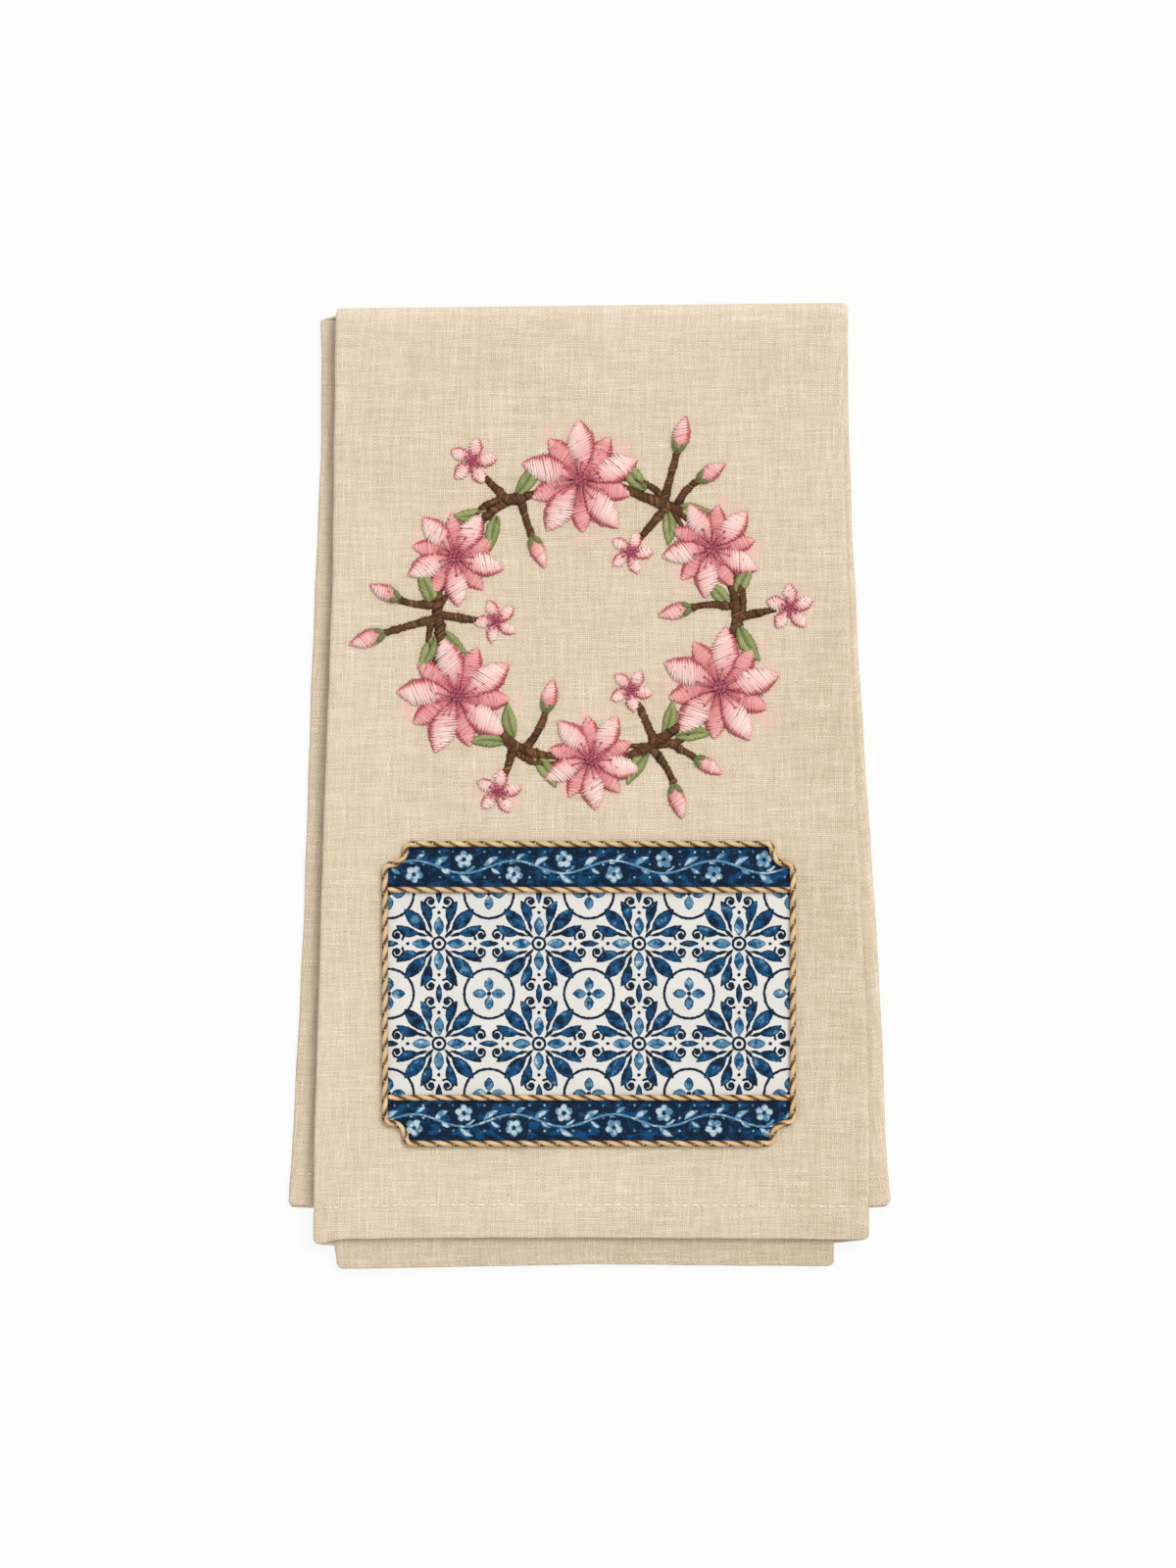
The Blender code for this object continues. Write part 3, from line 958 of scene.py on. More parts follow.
    def middle_surface(self) -> tuple[Array, Array, Array]:
        """Work out the sheet's middle surface.

        A row lies a share of the way from the top fold to a hem. Round the top fold
        y = turn + r sin(a) and z = middle + r cos(a), where r shrinks by a pitch for each layer inward.
        At a hem the fold edges draw in by tuck (1 - d / h)^2 over its last h millimetres, and at the top
        fold by corner exp(-(d / reach)^2), which rounds the towel's corners. The cloth is thicker in its
        hems, with a groove exp(-(d / width)^2) along the stitches, and thinner in the step by the fold.

        Returns:
            The points, the thickness, and the layout on the flat cloth.
        """
        stations, rows = self.across(), self.along()
        down_front, angle, down_back = (rows[:, i : i + 1] for i in range(3))
        radius = self.top_radius - stations[:, 5] * self.pitch
        x_top = self.sideways(np.full(len(stations), self.top_left), 0.0, stations)
        _, left, right = self.side_folds[0][:3]
        share = np.clip((x_top - left) / (right - left), 0, 1)
        turn = self.top_left + share * (self.top_right - self.top_left) - self.top_radius - self.cloth / 2
        front_hem, back_hem = self.hems(stations)
        y = turn + radius * np.sin(angle) + down_front * (front_hem - turn) + down_back * (back_hem - turn)
        from_top = self.top_radius * (angle - math.pi / 2) + down_back * (turn - back_hem)
        back = eased(from_top, self.step_from, self.step_to)
        gaps = ((1 - down_front) * (turn - front_hem), (1 - down_back) * (turn - back_hem))
        near_hem = (down_front > 0.5) | (down_back > 0.5)
        hem_gap = np.where(near_hem, np.where(angle < 1.0, *gaps), math.inf)
        drawn = self.tuck * np.clip(1.0 - hem_gap / self.tuck_height, 0.0, 1.0) ** 2
        drawn = drawn + self.corner * np.exp(-((from_top / self.corner_reach) ** 2))
        x = self.sideways(y, back, stations) - drawn * np.clip(stations[:, 4] / self.left_radius, -1.0, 1.0)
        z = self.middle_z + radius * np.cos(angle)
        on_top = np.clip((z - self.cloth) / (2 * self.top_radius), 0.0, 1.0)
        sunk = self.droop(y) - self.lip(x, y) * (1.0 - np.clip(stations[:, 5], 0.0, 1.0))
        z = z - np.where(angle < math.pi / 2, sunk, 0.0) + self.lift(x, y) * on_top
        in_step = np.exp(-(((from_top - (self.step_from + self.step_to) / 2) / 2.8) ** 2))
        folded = self.hem_extra * smoothstep((self.hem_depth + 0.9 - hem_gap) / 0.8)
        groove = self.hem_groove * np.exp(-(((hem_gap - self.hem_depth) / self.hem_groove_width) ** 2))
        thickness = self.cloth - self.step_thinner * in_step + folded - groove
        points = np.stack(np.broadcast_arrays(x, y, z), axis=2)
        return points, np.broadcast_to(thickness, x.shape), self.flattened(points)

    def flattened(self, points: Array) -> Array:
        """Return each point's place on the flat cloth.

        It is the length along its row from the middle column, and along its column from the top fold.

        Args:
            points: the middle surface.

        Returns:
            The places, rows by columns by two.
        """
        places = []
        for axis, home in ((1, points.shape[1] // 2), (0, int(points[:, 0, 1].argmax()))):
            first = np.take(points, [0], axis=axis)
            run = np.cumsum(np.linalg.norm(np.diff(points, axis=axis, prepend=first), axis=2), axis=axis)
            places.append(run - np.take(run, [home], axis=axis))
        return np.stack(places, axis=2)

    def wash(self, points: Array, spots: Array) -> Array:
        """Return how pink each point of the front face is.

        It falls smoothly over one radius of the nearest spot, from `stain` to nothing at `stain_reach`.

        Args:
            points: the sheet's points.
            spots: rows of x, y and radius.

        Returns:
            The share of pink.
        """
        x, y, z = points.T
        reach = np.hypot(x[:, None] - spots[:, 0], y[:, None] - spots[:, 1]) / spots[:, 2]
        front_face = z > self.middle_z + self.top_radius
        return np.where(front_face, self.stain * smoothstep(self.stain_reach - reach.min(axis=1)), 0.0)

    def painted_shading(self, points: Array) -> Array:
        """Return the painted light and shade of the linen at each point, as a share of its whole range.

        Painted light lightens the top fold. The front half has a little painted light along its left edge and
        painted shade along its right edge in the lower three quarters, and painted shade darkens the back
        half on the left.

        Args:
            points: the sheet's points.

        Returns:
            The changes in shade.
        """
        x, y, z = points.T
        front_half = z > self.middle_z
        top = self.painted_top_light * eased(y, 148.0, 160.0)
        left = np.where(front_half, *self.painted_left_light_and_shade) * eased(x, -62.0, -86.0)
        right = self.painted_right_shade * front_half * eased(x, 52.0, 86.0) * eased(y, 112.0, 42.0)
        return top + left - right * eased(y, -162.0, -150.0)

    def build(self, finish: SlubbyLinen, spots: Array) -> None:
        """Make the sheet.

        Args:
            finish: the linen.
            spots: rows of x, y and radius of the places with a wash of pink.
        """
        points, thickness, layout = self.middle_surface()
        sheet = shell(points, thickness, layout)
        side, rims = thickness.size, len(sheet.points) - 2 * thickness.size
        sheet.values["wash"] = self.wash(sheet.points, spots)
        sheet.values["painted_shading"] = self.painted_shading(sheet.points)
        # painted shade on the wrong side of the cloth, which shows below the front hem, darker from left to
        # right
        low, high = self.wrong_side_shade_range
        darker = low + (high - low) * np.clip(0.5 + sheet.points[:, 0] / self.wrong_side_shade_width, 0.0, 1.0)
        sheet.values["wrong_side_painted_shade"] = darker * np.repeat((0.0, 1.0, 0.0), (side, side, rims))
        towel = sheet.make("linen_towel", finish.material(), "linen")
        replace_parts(towel, "towel_cloth")


# -------- the stitching


@dataclass(frozen=True)
class Fill:
    """How a shape is filled with stitches.

    Attributes:
        pitch: from one stitch to the next, in millimetres.
        slant: how much further along a stitch ends than it starts, as a share of the length.
        split: share of the stitches that are worked in two parts.
        shades: rows of a share of the length, and the shade at the near edge, the middle and the far edge.
        Deeper towards the foot is the thread's own colour; a paler middle or edge and a darker edge are
        painted highlight and painted shade.
        cover: width of a stitch's thread, in pitches.
        ragged: how much further every second stitch reaches, in millimetres.
    """

    pitch: float
    slant: float
    split: float
    shades: Table
    cover: float = 1.55
    ragged: float = 0.4

    def tones(self, share: Array, rng: np.random.Generator) -> Array:
        """Return the shades of stitches at shares of the length, a little uneven, n by three."""
        even = np.stack([read(self.shades, i, share) for i in (1, 2, 3)], axis=1)
        return even + rng.normal(0.0, 0.04, len(share))[:, None] + rng.normal(0.0, 0.05, even.shape)


@dataclass
class Stitches:
    """Straight stitches of one thread, gathered over a ground and worked out all at once.

    A stitch has `stations` points along it and `sides` round it. Its ends go `dive` millimetres into the
    cloth, and painted shade darkens them by `painted_hole_shade` from the share `mark_from` of the way out
    from its middle, as in the holes where the needle went. All the small unevenness comes from `rng`, in
    the order in which the stitches are added.
    """

    ground: Ground
    rng: np.random.Generator = field(default_factory=lambda: np.random.default_rng(SEED))
    stations: int = 7
    sides: int = 4
    dive: float = 0.35
    flatness: float = 0.55
    painted_hole_shade: Point = (0.45, 0.45)
    mark_from: float = 0.98
    gathered: list[tuple[Array, ...]] = field(default_factory=list)

    def add(
        self,
        start: Array,
        end: Array,
        rise: Array | float,
        width: Array | float,
        tone: Array,
        base: Array | float = 0.0,
        part: Array | Point = (0.0, 1.0),
    ) -> None:
        """Add stitches that arch from one point to another.

        Args:
            start: where each comes up through the cloth, n by two.
            end: where it goes down.
            rise: height of its arch.
            width: of the thread as it lies.
            tone: n by three, its shade at the arch's start, middle and end.
            base: height above the ground at which the arch starts and ends.
            part: the shares of the arch at which the stitch starts and ends.
        """
        spread = [np.broadcast_to(np.asarray(value, float), (len(start),)) for value in (rise, width, base)]
        tone, part = np.broadcast_to(tone, (len(start), 3)), np.broadcast_to(part, (len(start), 2))
        self.gathered.append((start, end, *spread, tone, part))

    def surface(self) -> Surface:
        """Work out every stitch.

        At share s of its arch a stitch stands rise (1 - (2s - 1)^2)^0.55 above its base, and at its own
        two ends it dives into what is under it, less where it meets the other part of a stitch in two
        parts. Its section is an ellipse that narrows there. Its shade changes with |2s - 1|^2.2 from its
        middle's to its ends', which carries the painted highlight and shade of its tones, and painted shade
        darkens its very ends, as in a needle's holes.

        Returns:
            The stitches.
        """
        start, end, rise, width, base, tone, part = (np.concatenate(rows) for rows in zip(*self.gathered))
        own = (1 - np.cos(np.linspace(0.0, math.pi, self.stations))) / 2
        own_end = np.abs(2 * own - 1)
        arch = part[:, :1] + (part[:, 1:] - part[:, :1]) * own
        arch_end = np.abs(2 * arch - 1)
        meets = np.where(own < 0.5, part[:, :1] > 0, part[:, 1:] < 1)
        flat = start[:, None] + (end - start)[:, None] * own[:, None]
        height = self.ground(flat[..., 0], flat[..., 1]) + base[:, None]
        height = height + rise[:, None] * (1 - arch_end**2) ** 0.55
        height = height - self.dive * (1 - 0.5 * meets) * (1 - (1 - own_end**2) ** 0.55) ** 2
        side = np.column_stack((left_of(unit(end - start)), 0 * rise))
        wide = width[:, None] * (0.45 + 0.55 * (1 - own_end**4))
        path = np.concatenate((flat, height[..., None]), axis=2)
        across = np.broadcast_to(side[:, None], path.shape)
        threads = tubes(path, across, np.stack((wide, self.flatness * wide), axis=2), self.sides)
        # painted highlight and shade across the stitch from its tones, and painted shade in the needle holes
        # at its ends
        edge, middle = np.where(arch < 0.5, tone[:, :1], tone[:, 2:]), tone[:, 1:2]
        shade = middle + (edge - middle) * arch_end**2.2
        hole_shade_here = np.where(own < 0.5, *self.painted_hole_shade) * (own_end > self.mark_from)
        shade = shade - hole_shade_here * (1 - 0.6 * meets)
        threads.values["tone"] = np.repeat(shade, self.sides, axis=1).ravel()
        return threads


@dataclass
class Petal:
    """A padded satin shape on a bent middle line.

    Half its width at a share s of its length is width / 2 sin(pi s^lean)^fullness.
    """

    x: float
    y: float
    heading: float
    length: float
    width: float
    bend: float = 0.0
    lean: float = 1.15
    fullness: float = 0.8
    rise: float = 1.3
    base: float = 0.0

    def spine(self, share: Array) -> tuple[Array, Array]:
        """Return the middle line and its side directions.

        The line leaves the chord by bend / 2 times length times s (s - 1), and its side turns by
        bend (s - 1 / 2) from the chord's.

        Args:
            share: shares of the length.

        Returns:
            The points and the side directions, each n by two.
        """
        turn = self.heading + self.bend * (share - 0.5)
        forward, sag = self.length * share, self.bend * self.length * share * (share - 1.0) / 2
        cos, sin = math.cos(self.heading), math.sin(self.heading)
        line = np.stack((self.x + forward * cos - sag * sin, self.y + forward * sin + sag * cos), axis=-1)
        return line, left_of(towards(turn))

    def half_width(self, share: Array) -> Array:
        """Return half the width at shares of the length."""
        return self.width / 2 * np.sin(math.pi * np.clip(share, 0.0, 1.0) ** self.lean) ** self.fullness

    def raised(self, share: Array) -> Array:
        """Return how far the edge is raised, by what lies under it near the foot."""
        return self.base * (1.0 - smoothstep((share - 0.5) / 0.3))

    def satin(self, bed: Stitches, fill: Fill) -> None:
        """Lay satin stitches from one side to the other, some of them in two parts.

        A stitch at share s starts slant / 2 sin(pi s) before it on one side and ends as much after it on
        the other. Every second one reaches a little further, so that the edges are ragged.

        Args:
            bed: the stitches to add to.
            fill: how they lie.
        """
        rng, count = bed.rng, max(8, int(self.length / fill.pitch))
        share = np.linspace(0.03, 0.985, count) + rng.normal(0.0, 0.10 / count, count)
        ends = []
        for side in (1.0, -1.0):
            place = np.clip(share - side * fill.slant / 2 * np.sin(math.pi * share), 0.004, 0.996)
            line, across = self.spine(place)
            reach = self.half_width(place) * rng.normal(1.0, 0.05, count)
            reach = reach + fill.ragged * (np.arange(count) % 2)
            ends.append(line + side * across * reach[:, None])
        start, end = ends
        span = np.linalg.norm(end - start, axis=1)
        rise = self.rise * np.sqrt(np.clip(span / self.width, 0.05, 1.0)) * rng.normal(1.0, 0.03, count)
        tone, base = fill.tones(share, rng), self.raised(share)
        meet, nought, one = rng.uniform(0.3, 0.7, count), np.zeros(count), np.ones(count)
        parted = (rng.random(count) < fill.split) & (span > 3.0)
        for chosen, low, high in ((~parted, nought, one), (parted, nought, meet), (parted, meet, one)):
            part = np.stack((low, high), axis=1)[chosen]
            begin, over = start[chosen], (end - start)[chosen]
            ends = (begin + over * part[:, :1], begin + over * part[:, 1:])
            bed.add(*ends, rise[chosen], fill.cover * fill.pitch, tone[chosen], base[chosen], part)

    def fishbone(self, bed: Stitches, fill: Fill) -> None:
        """Lay two rows of slanting stitches from the middle line out to each edge.

        Args:
            bed: the stitches to add to.
            fill: how they lie; a stitch ends slant further along than it starts.
        """
        rng, count = bed.rng, max(5, int(self.length / fill.pitch))
        out = np.linspace(0.12, 0.99, count)
        root, _ = self.spine(np.clip(out * 0.95 - fill.slant, 0.0, 1.0))
        line, across = self.spine(out)
        for side in (-1.0, 1.0):
            edge = line + side * across * (self.half_width(out) * rng.normal(1.0, 0.05, count))[:, None]
            rise = self.rise * rng.normal(0.8, 0.05, count)
            # painted shade makes one half of the leaf a little darker than the other
            bed.add(root, edge, rise, fill.cover * fill.pitch, fill.tones(out, rng) - 0.07 * side)

    def padding(self, ground: Ground, tone: float) -> Surface:
        """Return the domed padding under the satin.

        Round a station at angle a it reaches 0.92 w cos(a) sideways and 0.75 rise sqrt(w / w_max) sin(a)
        up, where w is half the width there.

        Args:
            ground: what it lies on.
            tone: its shade.

        Returns:
            A closed lens, its underside just in the cloth.
        """
        sides, share = 12, np.linspace(0.03, 0.97, 11)
        turn = round_turn(sides)
        line, across = self.spine(share)
        reach = 0.92 * self.half_width(share)[:, None]
        flat = line[:, None] + across[:, None] * (np.cos(turn) * reach)[..., None]
        dome = np.where(np.sin(turn) > 0, 0.75 * self.rise, 0.25) * np.sin(turn)
        dome = dome * np.sqrt(reach / reach.max())
        height = ground(flat[..., 0], flat[..., 1]) + dome + self.raised(share)[:, None]
        points = np.concatenate((flat, height[..., None]), axis=2).reshape(-1, 3)
        faces = ring_faces(1, len(share), sides)
        return Surface(points, faces, points[:, :2].copy(), {"tone": np.full(len(points), tone)})


def knots(ground: Ground, places: Array, lift: float, size: Array, tone: Array) -> Surface:
    """Return French knots.

    Each is a ball (cos b^0.7 cos a, cos b^0.7 sin a, 0.7 sin b) times its size, with a dimple on top and
    a swell of a seventh where 2a - 3b is a whole turn, as the thread's coils leave it.

    Args:
        ground: what they lie on.
        places: the centres, n by two.
        lift: height of the knots' middle above the ground.
        size: radius of each.
        tone: shade of each.

    Returns:
        The knots as one surface.
    """
    around, rings = 9, 7
    a = round_turn(around)[None]
    b = np.linspace(-1.35, 1.35, rings)[:, None]
    out = np.cos(b) ** 0.7 * (1.0 + np.cos(2 * a - 3 * b) / 7)
    up = 0.7 * np.sin(b) - 0.35 * np.clip(b - 0.8, 0.0, 1.0) + 0.0 * a
    knot = np.stack((np.cos(a) * out, np.sin(a) * out, up), axis=2).reshape(-1, 3)
    centres = np.column_stack((places, ground(places[:, 0], places[:, 1]) + lift))
    points = (centres[:, None] + knot * size[:, None, None]).reshape(-1, 3)
    layout = np.stack(np.broadcast_arrays(2.0 * a, 1.5 * b), axis=2).reshape(-1, 2)
    # painted shade darkens the underside of each knot
    shade = tone[:, None] - 0.3 * (up.ravel() < -0.2)
    faces = ring_faces(len(places), rings, around)
    return Surface(points, faces, np.tile(layout, (len(places), 1)), {"tone": shade.ravel()})


@dataclass
class Wrapped:
    """A line worked in slanting wraps over a core, with a knuckle here and there, like a twig."""

    ground: Ground
    pitch: float = 0.66
    slant: float = 0.55
    rise: float = 0.30
    knuckle: float = 0.26
    knuckle_every: float = 11.0

    def beside(self, line: Array, travelled: Array, at: Array) -> tuple[Array, Array]:
        """Return the points and the side directions at lengths along a line."""
        back, here, ahead = (points_at(line, travelled, at + step) for step in (-0.5, 0.0, 0.5))
        return here, left_of(unit(ahead - back))

    def work(self, bed: Stitches, line: Array, widths: Array, fades: Array) -> Surface:
        """Lay the wraps and return the core under them.

        Args:
            bed: the stitches to add to.
            line: points along the middle, n by two.
            widths: the width at each point.
            fades: 1 where it stands at its full height, and less where it slips under a flower.

        Returns:
            The core, a half-sunk tube.
        """
        rng, travelled = bed.rng, lengths_along(line)
        count = max(3, int(travelled[-1] / self.pitch))
        at = np.linspace(0.3, travelled[-1] - 0.3, count) + rng.normal(0.0, 0.08, count)
        from_knuckle = np.mod(at + rng.uniform(0.0, self.knuckle_every), self.knuckle_every) - 3.0
        swell = 1.0 + self.knuckle * np.exp(-((from_knuckle / 1.3) ** 2))
        fade = np.interp(at, travelled, fades)
        width = np.interp(at, travelled, widths) * swell * rng.normal(1.0, 0.06, count) * (0.6 + 0.4 * fade)
        ends = []
        for side in (1.0, -1.0):
            point, across = self.beside(line, travelled, at - side * self.slant * width / 2)
            ends.append(point + side * across * width[:, None] / 2)
        middle = rng.normal(0.5, 0.15, count)
        # painted shade darkens each wrap towards its ends, more at its end than at its start, on the twig's
        # sides
        tone = np.stack((middle - 0.15, middle, middle - 0.4), axis=1)
        rise = self.rise * width * fade * rng.normal(1.0, 0.08, count)
        bed.add(*ends, rise, self.pitch * rng.normal(1.5, 0.10, count), tone)
        place = np.linspace(0.2, travelled[-1] - 0.2, max(4, int(travelled[-1] / 2)))
        point, side = self.beside(line, travelled, place)
        path = np.column_stack((point, self.ground(point[:, 0], point[:, 1]) + 0.1))[None]
        size = 0.8 * np.interp(place, travelled, widths)
        high = 0.55 * size * np.interp(place, travelled, fades)
        core = tubes(path, np.column_stack((side, 0 * size))[None], np.stack((size, high), axis=1)[None], 8)
        core.values["tone"] = np.full(len(core.points), 0.1)
        return core


@dataclass
class Blossom:
    """An open flower: a ring of pale petals, a deeper ring behind them, and a tuft of stamens."""

    x: float
    y: float
    radius: float
    turn: float
    count: int = 5
    hollow: float = 0.09
    slim: float = 0.50
    small: float = 10.0
    small_wider: float = 1.25
    bend: float = 0.22
    front_base: float = 0.45
    behind_reach: float = 0.86
    behind_rise: float = 0.045

    @property
    def full(self) -> bool:
        """Return whether it has a second ring of petals and a full tuft."""
        return self.radius > self.small

    @property
    def front_rise(self) -> float:
        """Return the height of the pale petals' satin."""
        return (0.075 if self.full else 0.12) * self.radius

    def ring(self, turn: float, reach: float, rise: float, base: float) -> list[Petal]:
        """Return a ring of petals, each bent a little the same way.

        Args:
            turn: heading of the first.
            reach: how far they reach, as a share of the radius.
            rise: height of their satin.
            base: how far their edges are raised near the foot.

        Returns:
            The petals.
        """
        inner = self.hollow * self.radius
        length = reach * self.radius - inner
        width = (self.slim if self.full else self.small_wider * self.slim) * length
        headings = turn + np.arange(self.count) * FULL_TURN / self.count
        feet = zip(self.x + inner * np.cos(headings), self.y + inner * np.sin(headings), headings)
        return [Petal(*foot, length, width, self.bend, rise=rise, base=base) for foot in feet]

    def front(self) -> list[Petal]:
        """Return the pale petals."""
        return self.ring(self.turn, 1.0, self.front_rise, self.front_base if self.full else 0.0)

    def behind(self) -> list[Petal]:
        """Return the deeper petals that show between the pale ones, where the flower is large enough."""
        turn, rise = self.turn + math.pi / self.count, self.behind_rise * self.radius
        return self.ring(turn, self.behind_reach, rise, 0.0) if self.full else []

    def stamens(self, bed: Stitches) -> list[Surface]:
        """Work straight stitches out of the middle, a knot at the end of each, and knots in the middle.

        Args:
            bed: the rose stitches to add to.

        Returns:
            The knots.
        """
        rng = bed.rng
        count, heart_size = (13, 0.78) if self.full else (7, 0.52)
        lift = self.front_rise + (self.front_base if self.full else 0.0) + 0.15
        aim = towards(round_turn(count) + rng.normal(0.0, 0.08, count))
        middle = np.array((self.x, self.y))
        reach = self.radius * rng.uniform(0.28, 0.42, count)[:, None]
        pale = rng.uniform(0.65, 0.95, count)
        tone = np.stack((pale - 0.45, pale, pale), axis=1)
        bed.add(middle + aim * 0.8, middle + aim * reach, 0.35, 0.48, tone, lift - 0.1)
        tips = knots(bed.ground, middle + aim * reach, lift + 0.1, rng.uniform(0.44, 0.56, count), pale - 0.2)
        inner = 1.95 * heart_size * towards(round_turn(6) + self.turn)
        places = middle + np.concatenate((np.zeros((1, 2)), inner))
        heart = knots(bed.ground, places, lift + 0.25, np.full(7, heart_size), rng.uniform(0.30, 0.60, 7))
        return [tips, heart]


@dataclass
class Wreath:
    """An oval wreath: twined twigs with open flowers on them, small flowers, buds and leaves."""

    ground: Ground
    middle: Point = (-1.0, 56.0)
    reach: Point = (50.5, 47.0)
    leaf_width: float = 0.4  # as a share of its length
    # a flower hides the vine this near its middle, and lowers it up to this far, as shares of its radius
    hidden: float = 0.58
    lowered: Point = (0.74, 1.06)
    # the fills' shades: deeper towards the foot is the threads' own colour, and the paler middle, the pale
    # near edge and the darker far edge are painted highlight and painted shade
    front_fill: Fill = Fill(0.48, 0.24, 0.12, (
        (0.0, 0.05, 0.05, 0.0),
        (0.22, 0.45, 0.45, 0.15),
        (0.5, 1.05, 0.80, 0.25),
        (0.8, 1.15, 0.92, 0.30),
        (1.0, 0.60, 0.50, 0.10),
    ))
    behind_fill: Fill = Fill(0.54, 0.16, 0.06, (
        (0.0, -0.05, 0.08, -0.05),
        (0.5, 0.16, 0.34, 0.06),
        (1.0, 0.42, 0.52, 0.18),
    ))
    bud_fill: Fill = Fill(0.48, 0.20, 0.08, (
        (0.0, 0.0, 0.08, -0.1),
        (0.4, 0.55, 0.58, 0.2),
        (0.75, 0.9, 0.8, 0.35),
        (1.0, 0.35, 0.4, 0.1),
    ))
    leaf_fill: Fill = Fill(0.6, 0.15, 0.0, (
        (0.0, 0.15, 0.35, 0.15),
        (0.5, 0.40, 0.70, 0.40),
        (1.0, 0.35, 0.60, 0.35),
    ), cover=1.4)
    # angle on the oval, millimetres outward, radius, and turn in degrees
    flowers: Table = (
        (92, 1, 20.5, 92), (32, 0, 17, 46), (332, 1, 20.5, 12),
        (272, 0, 17, 275), (212, 1, 20.5, 176), (152, 0, 17, 130),
        (4, 19, 8.2, 20), (124, 18.5, 8.2, 80), (244, 17.5, 7.8, 10),
        (60, -20, 7.4, 0), (180, -20, 7.4, 40), (300, -20, 7.4, 62),
    )
    # angle on the oval, millimetres outward and along at its foot, heading from outward, length and width
    buds: Table = (
        (60, 17.5, 3.5, 16, 12.5, 6), (60, 12.5, -7.5, -28, 11, 5.4),
        (180, 18, 4, 18, 12.5, 6), (180, 13, -7.5, -26, 11, 5.4),
        (300, 15, -3.5, -16, 12, 5.8), (300, 11, 7.5, 28, 10.5, 5.2),
        (4, -14.5, 2.5, 190, 11.5, 5.4), (124, -14, -2.5, 168, 11.5, 5.4), (244, -14, 2.5, 192, 11.5, 5.4),
    )
    # angle on the oval, millimetres outward at its foot, heading from outward, length and bend
    leaves: Table = (
        (-2, 1.5, -56, 14, 0.5), (10, 1.5, 52, 12.5, -0.5), (6, -1.5, 128, 12, 0.5),
        (54, 1.5, -62, 12.5, 0.5), (67, 1.5, 58, 14, -0.5), (56, -1.5, 216, 12, -0.5),
        (117, 1.5, -58, 13.5, 0.5), (130, 1.5, 56, 12.5, -0.5), (128, -1.5, 132, 12, 0.5),
        (174, 1.5, -58, 14, 0.5), (186, 1.5, 58, 12.5, -0.5), (184, -1.5, 134, 11.5, 0.5),
        (238, 1.5, -58, 12.5, 0.5), (250, 1.5, 54, 13.5, -0.5), (240, -1.5, 220, 12, -0.5),
        (294, 1.5, -56, 13.5, 0.5), (306, 1.5, 58, 12.5, -0.5), (303, -1.5, 134, 11.5, 0.5),
    )
    # two kinds, each worked on every third of the oval: the angle where it starts and ends, its width at
    # either end, millimetres that it swings, and swings a turn
    twigs: Table = ((18, 158, 4, 2.7, 0.9, 9), (40, 145, 1.9, 2.3, 3.6, 6))

    def spot(self, degrees: Array | float, outward: Array | float = 0.0) -> Array:
        """Return the point of the oval at an angle, moved away from its middle by some millimetres."""
        reach = np.add.outer(outward, self.reach)
        return self.middle + reach * towards(np.radians(degrees))

    def blossoms(self) -> list[Blossom]:
        """Return the open flowers."""
        spots = ((self.spot(*row[:2]), *row[2:]) for row in self.flowers)
        return [Blossom(*spot, radius, math.radians(turn)) for spot, radius, turn in spots]

    def bud_shapes(self) -> list[Petal]:
        """Return the buds.

        Returns:
            Their shapes.
        """
        shapes = []
        for degrees, outward, along, turn, length, width in self.buds:
            x, y = self.spot(degrees, outward) + along * towards(math.radians(degrees + 90.0))
            aim = math.radians(degrees + turn)
            shapes.append(Petal(x, y, aim, length, width, lean=0.85, fullness=0.9, rise=1.35))
        return shapes

    def leaf_shapes(self) -> list[Petal]:
        """Return the leaves, and two small ones that hold the foot of each bud.

        Returns:
            Their shapes.
        """
        leaf = {"lean": 0.9, "fullness": 0.9, "rise": 0.8}
        cup = {"lean": 0.8, "fullness": 0.8, "rise": 1.0, "base": 0.8}
        shapes = [
            Petal(*self.spot(at, out), math.radians(at + turn), size, self.leaf_width * size, bend, **leaf)
            for at, out, turn, size, bend in self.leaves
        ]
        for bud in self.bud_shapes():
            for side in (-1.0, 1.0):
                aim, length = bud.heading + side * 0.38, 0.48 * bud.length
                shapes.append(Petal(bud.x, bud.y, aim, length, 2.3, -side * 0.5, **cup))
        return shapes

    def wash_spots(self) -> Array:
        """Return the pink places, off to the side of each flower's first, third and fifth petal.

        Returns:
            Rows of x, y and radius.
        """
        spots = []
        for flower in self.blossoms():
            for side, petal in zip((0.5, 0.6, 0.5), flower.front()[::2]):
                middle = (petal.x, petal.y) + 0.8 * petal.length * towards(petal.heading + side)
                spots.append((*middle, 0.34 * petal.length))
        return np.array(spots)

    def stalks(self) -> list[tuple[Array, Array]]:
        """Return the line and the widths of the stalk of each bud and each small flower.

        A stalk is a quadratic curve from the oval to the bud's foot, which it meets in line with the bud.

        Returns:
            The lines and widths.
        """
        tips = [(bud.x, bud.y, bud.heading) for bud in self.bud_shapes()]
        tips += [
            (*self.spot(degrees, outward), math.radians(degrees if outward > 0 else degrees + 180.0))
            for degrees, outward, radius, _ in self.flowers
            if radius <= Blossom.small
        ]
        share = np.linspace(0.0, 1.0, 14)[:, None]
        lines = []
        for x, y, heading in tips:
            foot = np.array((x, y))
            knee = foot - 7.0 * towards(heading)
            aside, up = (knee - self.middle) / self.reach
            root = self.spot(math.degrees(math.atan2(up, aside)) - 3.0)
            line = (1 - share) ** 2 * root + 2 * share * (1 - share) * knee + share**2 * foot
            lines.append((line, np.interp(share[:, 0], (0.0, 0.8, 1.0), (3.0, 2.1, 2.5))))
        return lines

